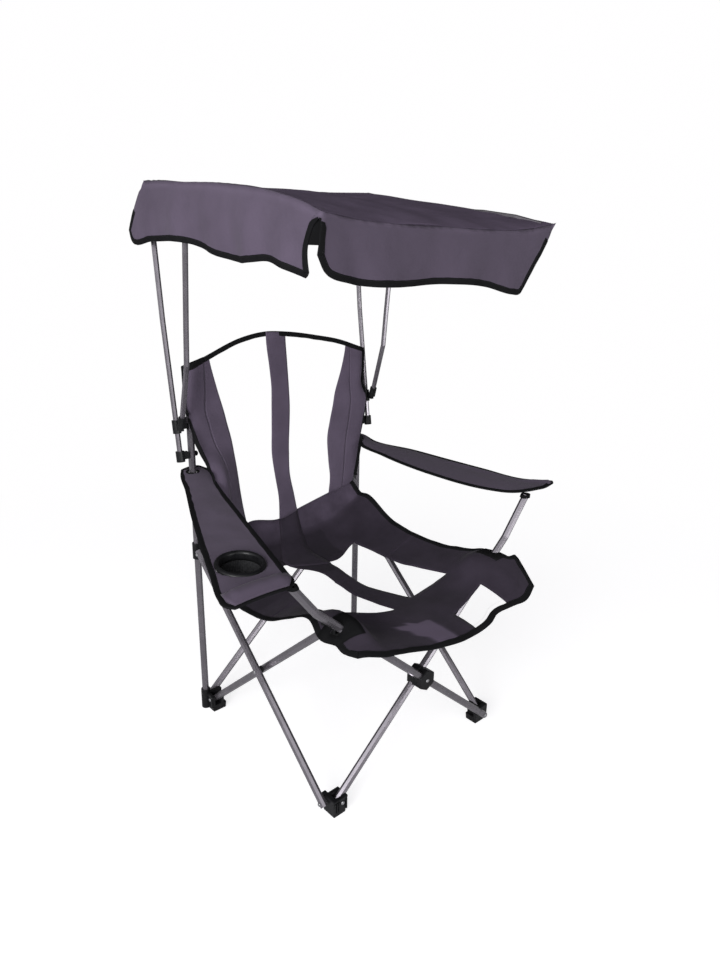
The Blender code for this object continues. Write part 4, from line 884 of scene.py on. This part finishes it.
bag_profile = [(1.0, 0.0), (0.985, -0.2), (0.955, -0.45), (0.9, -0.7), (0.83, -0.88), (0.74, -0.965),
               (0.6, -0.99), (0.35, -0.985), (0.02, -0.98)]
bag_depth = bag_high.z - bag_low.z - 0.008
turns = np.linspace(0, 2 * np.pi, 49)
rings = spread([(share * bag_top_radius, drop * bag_depth) for share, drop in bag_profile], [3] * 8)
bag = np.empty((len(turns), len(rings), 3))
for i, turn in enumerate(turns):
    for j, (radius, drop) in enumerate(rings):
        slack = 1 - 0.035 * math.sin(5 * turn) * math.sin(math.pi * min(1.0, -drop / bag_depth))
        y = cup_y + radius * slack * math.sin(turn)
        bag[i, j] = (cup_x + radius * slack * math.cos(turn), y, arm_height(y) - 0.003 + drop)
bm = bmesh.new()
add_net(bm, bag)
cup_net = new_piece("cup_bag_net", bm, [black_net], 0.0008, join=0.00002)
settle(cup_net, "front_outer", None, "cup_bag")

# Canopy
# One piece of the same cloth, drawn over the poles' ends. It is creased along the edges of its top, its
# flaps hang free, and tape binds their hems. Black webbing pockets in the corners hold the poles.
half = 0.33
edge_line = mm((306, 1345), (292, 1343.7), (250, 1342.5), (140, 1335.2), (10, 1328), (-75, 1319.5),
               (-108, 1316), (-150, 1310.5), (-195, 1302), (-265, 1285), (-288, 1277), (-300, 1273))
hem_line = mm((386, 1245), (372, 1222), (283, 1222), (140, 1221), (10, 1195.5), (-80, 1187.5), (-110, 1190),
              (-148, 1193), (-195, 1184), (-250, 1171), (-262, 1169), (-268, 1177))
edge_steps = [3, 6, 10, 12, 8, 4, 4, 5, 7, 4, 3]
front_line = mm((-330, 1273), (-312, 1270), (-255, 1263), (-158, 1258), (-26, 1257), (103, 1255),
                (193, 1257), (254, 1262), (330, 1275))
front_hem = mm((-338, 1206), (-322, 1179), (-262, 1160), (-158, 1152), (-26, 1155), (103, 1146),
               (180, 1130), (210, 1130), (226, 1144))
front_steps = [3, 6, 10, 13, 13, 9, 6, 7]
top_sag = 0.004
right_of_y = mm((-302, 0), (-265, -6.2), (-195, -15.7), (-108, -13.9), (10, -9.3), (140, -0.5), (250, 7.8),
                (306, 13))
front_y = -0.302
flap_steps = 14
right_flap_lift = 0.045
corner_y, corner_reach, corner_push = -0.19, 0.11, 0.013
side_folds = mm((165, 26, 13), (85, 40, -7), (-90, 32, 12), (-30, 36, -8), (-205, 26, 7), (290, 30, 7))
front_folds = mm((-190, 45, 6), (20, 50, 7), (-80, 50, -5), (170, 40, 7))
edge = spread([(-half, y, z) for y, z in edge_line], edge_steps)
hem = spread([(-half, y, z) for y, z in hem_line], edge_steps)
front_edge = spread([(x, -0.3, z) for x, z in front_line], front_steps)
front_edge_hem = spread([(x, front_y, z) for x, z in front_hem], front_steps)


def ripple(far, width):
    return math.exp(-(far / width) ** 2)


def fold_depth(place, folds):
    """How far soft folds stand out at a place; each is its middle, its width and its depth."""
    return sum(depth * ripple(place - middle, width) for middle, width, depth in folds)


def side_flap(sign):
    """A side flap with soft hanging folds; its front corner is cut back in a curve."""
    down = np.linspace(0, 1, flap_steps + 1)
    points = np.empty((len(down), len(edge), 3))
    for i, share in enumerate(down):
        points[i] = edge + (hem - edge) * share
        if sign > 0:
            points[i, :, 2] += right_flap_lift * share * np.clip((-0.06 - edge[:, 1]) / 0.16, 0, 1)
        for j, (_, y, _) in enumerate(edge):
            near_front = min(1.0, max(0.0, (corner_y - y) / corner_reach)) ** 2
            points[i, j, 1] += corner_push * math.sin(math.pi * share) * near_front
            points[i, j, 0] -= fold_depth(y, side_folds) * share ** 1.3 + 0.004 * math.sin(math.pi * share)
    points = crumple(points, 0.0022, 14.0, 53.0 + sign, (1.0, 1.0, 0.5))
    points[0] = edge
    points[..., 0] *= -sign
    return points


def top_sheet():
    """The top between its creases: slack in the middle, drawn down to the front, puckered at its seams."""
    across = (front_edge[:, 0] + half) / (2 * half)
    points = np.empty((len(across), len(edge), 3))
    for i, share in enumerate(across):
        bulge = math.sin(math.pi * share)
        for j, (_, y, z) in enumerate(edge):
            forward = j / (len(edge) - 1)
            drop = (front_edge[i, 2] - edge[-1, 2]) * forward ** 3
            slack = top_sag * bulge * (1 - forward) ** 0.7
            tension = 0.003 * math.sin(math.pi * forward) * math.cos(6 * math.pi * share)
            points[i, j] = (front_edge[i, 0], y, z + drop - slack + tension * bulge)
            pucker = ripple(half - abs(front_edge[i, 0]), 0.02) * math.sin(2 * math.pi * y / 0.024)
            points[i, j, 2] += 0.0008 * pucker * (0 < i < len(across) - 1)
    inner = crumple(points, 0.0035, 8.0, 71.0)
    points[1:-1, 1:-1] = inner[1:-1, 1:-1]
    points[0], points[-1] = edge, edge * (-1, 1, 1)
    points[:, -1] = front_edge
    return points


def twisted(points):
    """The canopy's right side stands higher at the rear and sags in the middle."""
    sideways = np.clip((points[..., 0] + half) / (2 * half), 0, 1)
    rise = np.interp(points[..., 1], *zip(*right_of_y)) * sideways ** 2
    return points + rise[..., None] * (0, 0, 1)


def end_flap(top, bottom, bow, seed):
    """The front or the rear flap, hanging between its crease and its hem."""
    down = np.linspace(0, 1, flap_steps + 1)
    points = np.stack([top + (bottom - top) * share for share in down])
    for i, share in enumerate(down):
        for j, place in enumerate(points[i]):
            x = place[0]
            folds = fold_depth(x, front_folds) - 0.007 * ripple(x + 0.275 - 0.03 * share, 0.022)
            points[i, j, 1] += bow * (folds * share + 0.003 * math.sin(math.pi * share))
    moved = crumple(points, 0.0026, 12.0, seed)
    moved[0] = top
    return moved


def sewn(first, second, rows=3):
    """Two flaps' edges share their first points, where the corner is sewn, and part below them."""
    for row in range(rows):
        first[row] = second[row] = (first[row] + second[row]) / 2


top = top_sheet()
rear_edge = top[:, 0]
rear_x = rear_edge[:, 0]
rear_hem = np.stack([rear_x, 0.38 + 0.004 * np.sin(14 * rear_x), 1.236 + 0.004 * np.cos(9 * rear_x)], axis=1)
flaps = {"left": side_flap(-1), "right": side_flap(1),
         "front": end_flap(front_edge, front_edge_hem, -1, 83.0),
         "rear": end_flap(rear_edge, rear_hem, 1, 97.0)}
corners = [("left", -1, "front", 0), ("right", -1, "front", -1), ("left", 0, "rear", 0),
           ("right", 0, "rear", -1)]
for side, side_end, end, end_side in corners:
    sewn(flaps[side][:, side_end], flaps[end][:, end_side])
top, flaps = twisted(top), {side: twisted(points) for side, points in flaps.items()}
bm = bmesh.new()
top_wear = np.zeros(top.shape[:2])
for seam in (np.s_[:2], np.s_[-2:], np.s_[:, :2], np.s_[:, -2:]):
    top_wear[seam] = 0.8
add_net(bm, top, None, top_wear)
# The top takes a slightly darker copy of the cloth, painted shade.
for face in bm.faces:
    face.material_index = 1
for side, points in flaps.items():
    # Painted shade: the front flap is painted darker, as it faces away from the light; the other flaps are a
    # touch paler, and all are paler along their top rows from wear.
    flap_wear_and_shade = np.full(points.shape[:2], -1.2 if side == "front" else 0.1)
    flap_wear_and_shade[:2] += hem_wear
    add_net(bm, points, None, flap_wear_and_shade)
# Painted shade: the top's cloth is the same purple a little darker, with no sheen.
shaded_top_cloth = woven("purple grey cloth of the canopy top", darker(cloth_purple, 0.78),
                  darker(cloth_purple, 1.18), thread_pitch, 0.35, 0.0, 0.12)
canopy = new_piece("canopy_cloth", bm, [purple_cloth, shaded_top_cloth], cloth_thick, join=0.0002)
canopy_fold = ((1, 0, 0), (-half, 0.0, 1.3), 1 - fold_travel / (2 * half))
settle(canopy, "canopy_left", canopy_fold, "canopy")
tapes = [edge_tape(points, column=-1, inside=-4) for points in flaps.values()]
flap_ends = [("left", -1, 2, 3), ("left", 0, 8, 0), ("right", 0, 8, 0), ("right", -1, 8, 0),
             ("front", 0, 2, 3), ("front", -1, 4, 0)]
for side, end, open_row, narrow in flap_ends:
    points, normals = flaps[side][open_row:], outward_of(flaps[side])[open_row:]
    inside = points[:, 5 if end == 0 else -6]
    tapes.append(dict(path=points[:, end], normals=normals[:, end], inside=inside, narrow=narrow))
seams = [net_row(top, 0), net_row(top, -1), net_column(top, 0), net_column(top, -1)]
hem_tape = trim("canopy_tape", "canopy_left", canopy_fold, tapes, seams)
bm = bmesh.new()
pocket_top, pocket_depth, pocket_steps = 0.01, 0.052, 9
for side, side_end, end, end_side in corners:
    levels = np.linspace(pocket_top, pocket_depth, pocket_steps)
    sides = [np.stack([np.interp(levels, line[0, 2] - line[:, 2], line[:, k]) for k in range(3)], axis=1)
             for line in (flaps[side][:, side_end], flaps[end][:, end_side])]
    pocket = np.stack([sides[0] + (sides[1] - sides[0]) * share for share in np.linspace(0, 1, pocket_steps)])
    inward = -pocket
    inward[..., 2] = 0
    inward /= np.linalg.norm(inward, axis=-1, keepdims=True)
    bend = 0.0012 + 0.003 * np.sin(np.pi * np.linspace(0, 1, pocket_steps))[:, None, None]
    add_net(bm, pocket + inward * bend)
pockets = new_piece("canopy_pockets", bm, [black_webbing], 0.0012)
settle(pockets, "canopy_left", canopy_fold)

# Floor, light and camera
# A plain pale floor, lit softly by a bright side of the room, a window and a low lamp in front. The camera
# stands to the front left of the chair and looks down at it.
floor_size, floor_drop = 40.0, 0.0002
white = (1.0, 0.995, 1.0, 1.0)
floor_mesh = bpy.data.meshes.new("floor")
floor_corners = [(-1, -1), (1, -1), (1, 1), (-1, 1)]
floor_points = [(x * floor_size, y * floor_size, -floor_drop) for x, y in floor_corners]
floor_mesh.from_pydata(floor_points, [], [(0, 1, 2, 3)])
floor = put("floor", floor_mesh)
floor_paint, tree, shader = new_material("floor", (0.55, 0.55, 0.56), 0.9, Emission_Color=white,
                                         Specular_IOR_Level=0.0)
where = add_node(tree, "TexCoord")
distance = add_node(tree, "VectorMath", operation="LENGTH")
wire(where, "Object", distance, 0)
far_off = add_node(tree, "MapRange", From_Min=0.8, From_Max=2.4)
wire(distance, "Value", far_off, "Value")
rays = add_node(tree, "LightPath")
own_light = maths(tree, "MULTIPLY", rays.outputs["Is Camera Ray"], 0.74)
tree.links.new(own_light, shader.inputs["Emission Strength"])
plain_white = add_node(tree, "Emission", Strength=1.0, Color=white)
fade = add_node(tree, "MixShader")
far_and_seen = maths(tree, "MULTIPLY", far_off.outputs["Result"], rays.outputs["Is Camera Ray"])
tree.links.new(far_and_seen, fade.inputs["Fac"])
wire(shader, "BSDF", fade, 1)
wire(plain_white, "Emission", fade, 2)
wire(fade, "Shader", tree.nodes["Material Output"], "Surface")
floor_mesh.materials.append(floor_paint)

world = bpy.data.worlds.new("pale room")
bpy.context.scene.world = world
world.use_nodes = True
tree = world.node_tree
ambient = dial(tree.nodes["Background"], Color=(1.0, 1.0, 1.02, 1.0))
where = add_node(tree, "TexCoord")
bright_side = add_node(tree, "VectorMath", operation="DOT_PRODUCT")
bright_side.inputs[1].default_value = (-0.85, -0.45, 0.28)
wire(where, "Generated", bright_side, 0)
glow = add_node(tree, "MapRange", interpolation_type="SMOOTHSTEP", From_Min=0.3, From_Max=1.0, To_Min=0.08,
                To_Max=1.5)
wire(bright_side, "Value", glow, "Value")
wire(glow, "Result", ambient, "Strength")
seen = add_node(tree, "Background", Strength=1.0, Color=white)
rays = add_node(tree, "LightPath")
choice = add_node(tree, "MixShader")
wire(rays, "Is Camera Ray", choice, "Fac")
wire(ambient, "Background", choice, 1)
wire(seen, "Background", choice, 2)
wire(choice, "Shader", tree.nodes["World Output"], "Surface")

lamps = [("window", (-3.0, -1.5, 1.6), 1.4, 56.0), ("front lamp", (0.4, -3.2, 0.8), 1.6, 24.0)]
for name, place, size, power in lamps:
    lamp = bpy.data.lights.new(name, "AREA")
    lamp.shape = "DISK"
    lamp.size = size
    lamp.energy = power
    light = put(name, lamp)
    light.location = at(*place)
    light.rotation_euler = (at(0, 0, 0.7) - light.location).to_track_quat("-Z", "Y").to_euler()

picture_width = 720.0
focal_pixels = 706.0951
lens = bpy.data.cameras.new("camera")
camera = put("camera", lens)
bpy.context.scene.camera = camera
camera.location = at(-1.0859, -1.2329, 1.224)
azimuth, pitch, roll = math.radians(-42.3857), math.radians(-18.4714), math.radians(1.1031)
looking = Vector((-math.sin(azimuth) * math.cos(pitch), math.cos(azimuth) * math.cos(pitch), math.sin(pitch)))
right_hand = Vector((math.cos(azimuth), math.sin(azimuth), 0))
overhead = right_hand.cross(looking)
level, upright = right_hand, overhead
right_hand = math.cos(roll) * level + math.sin(roll) * upright
overhead = math.cos(roll) * upright - math.sin(roll) * level
camera.rotation_euler = Matrix((right_hand, overhead, -looking)).transposed().to_euler()
lens.sensor_width = 36.0
lens.sensor_fit = "HORIZONTAL"
lens.lens = focal_pixels * lens.sensor_width / picture_width
lens.clip_start, lens.clip_end = 0.05, 200.0
bpy.context.scene.view_settings.view_transform = "Standard"
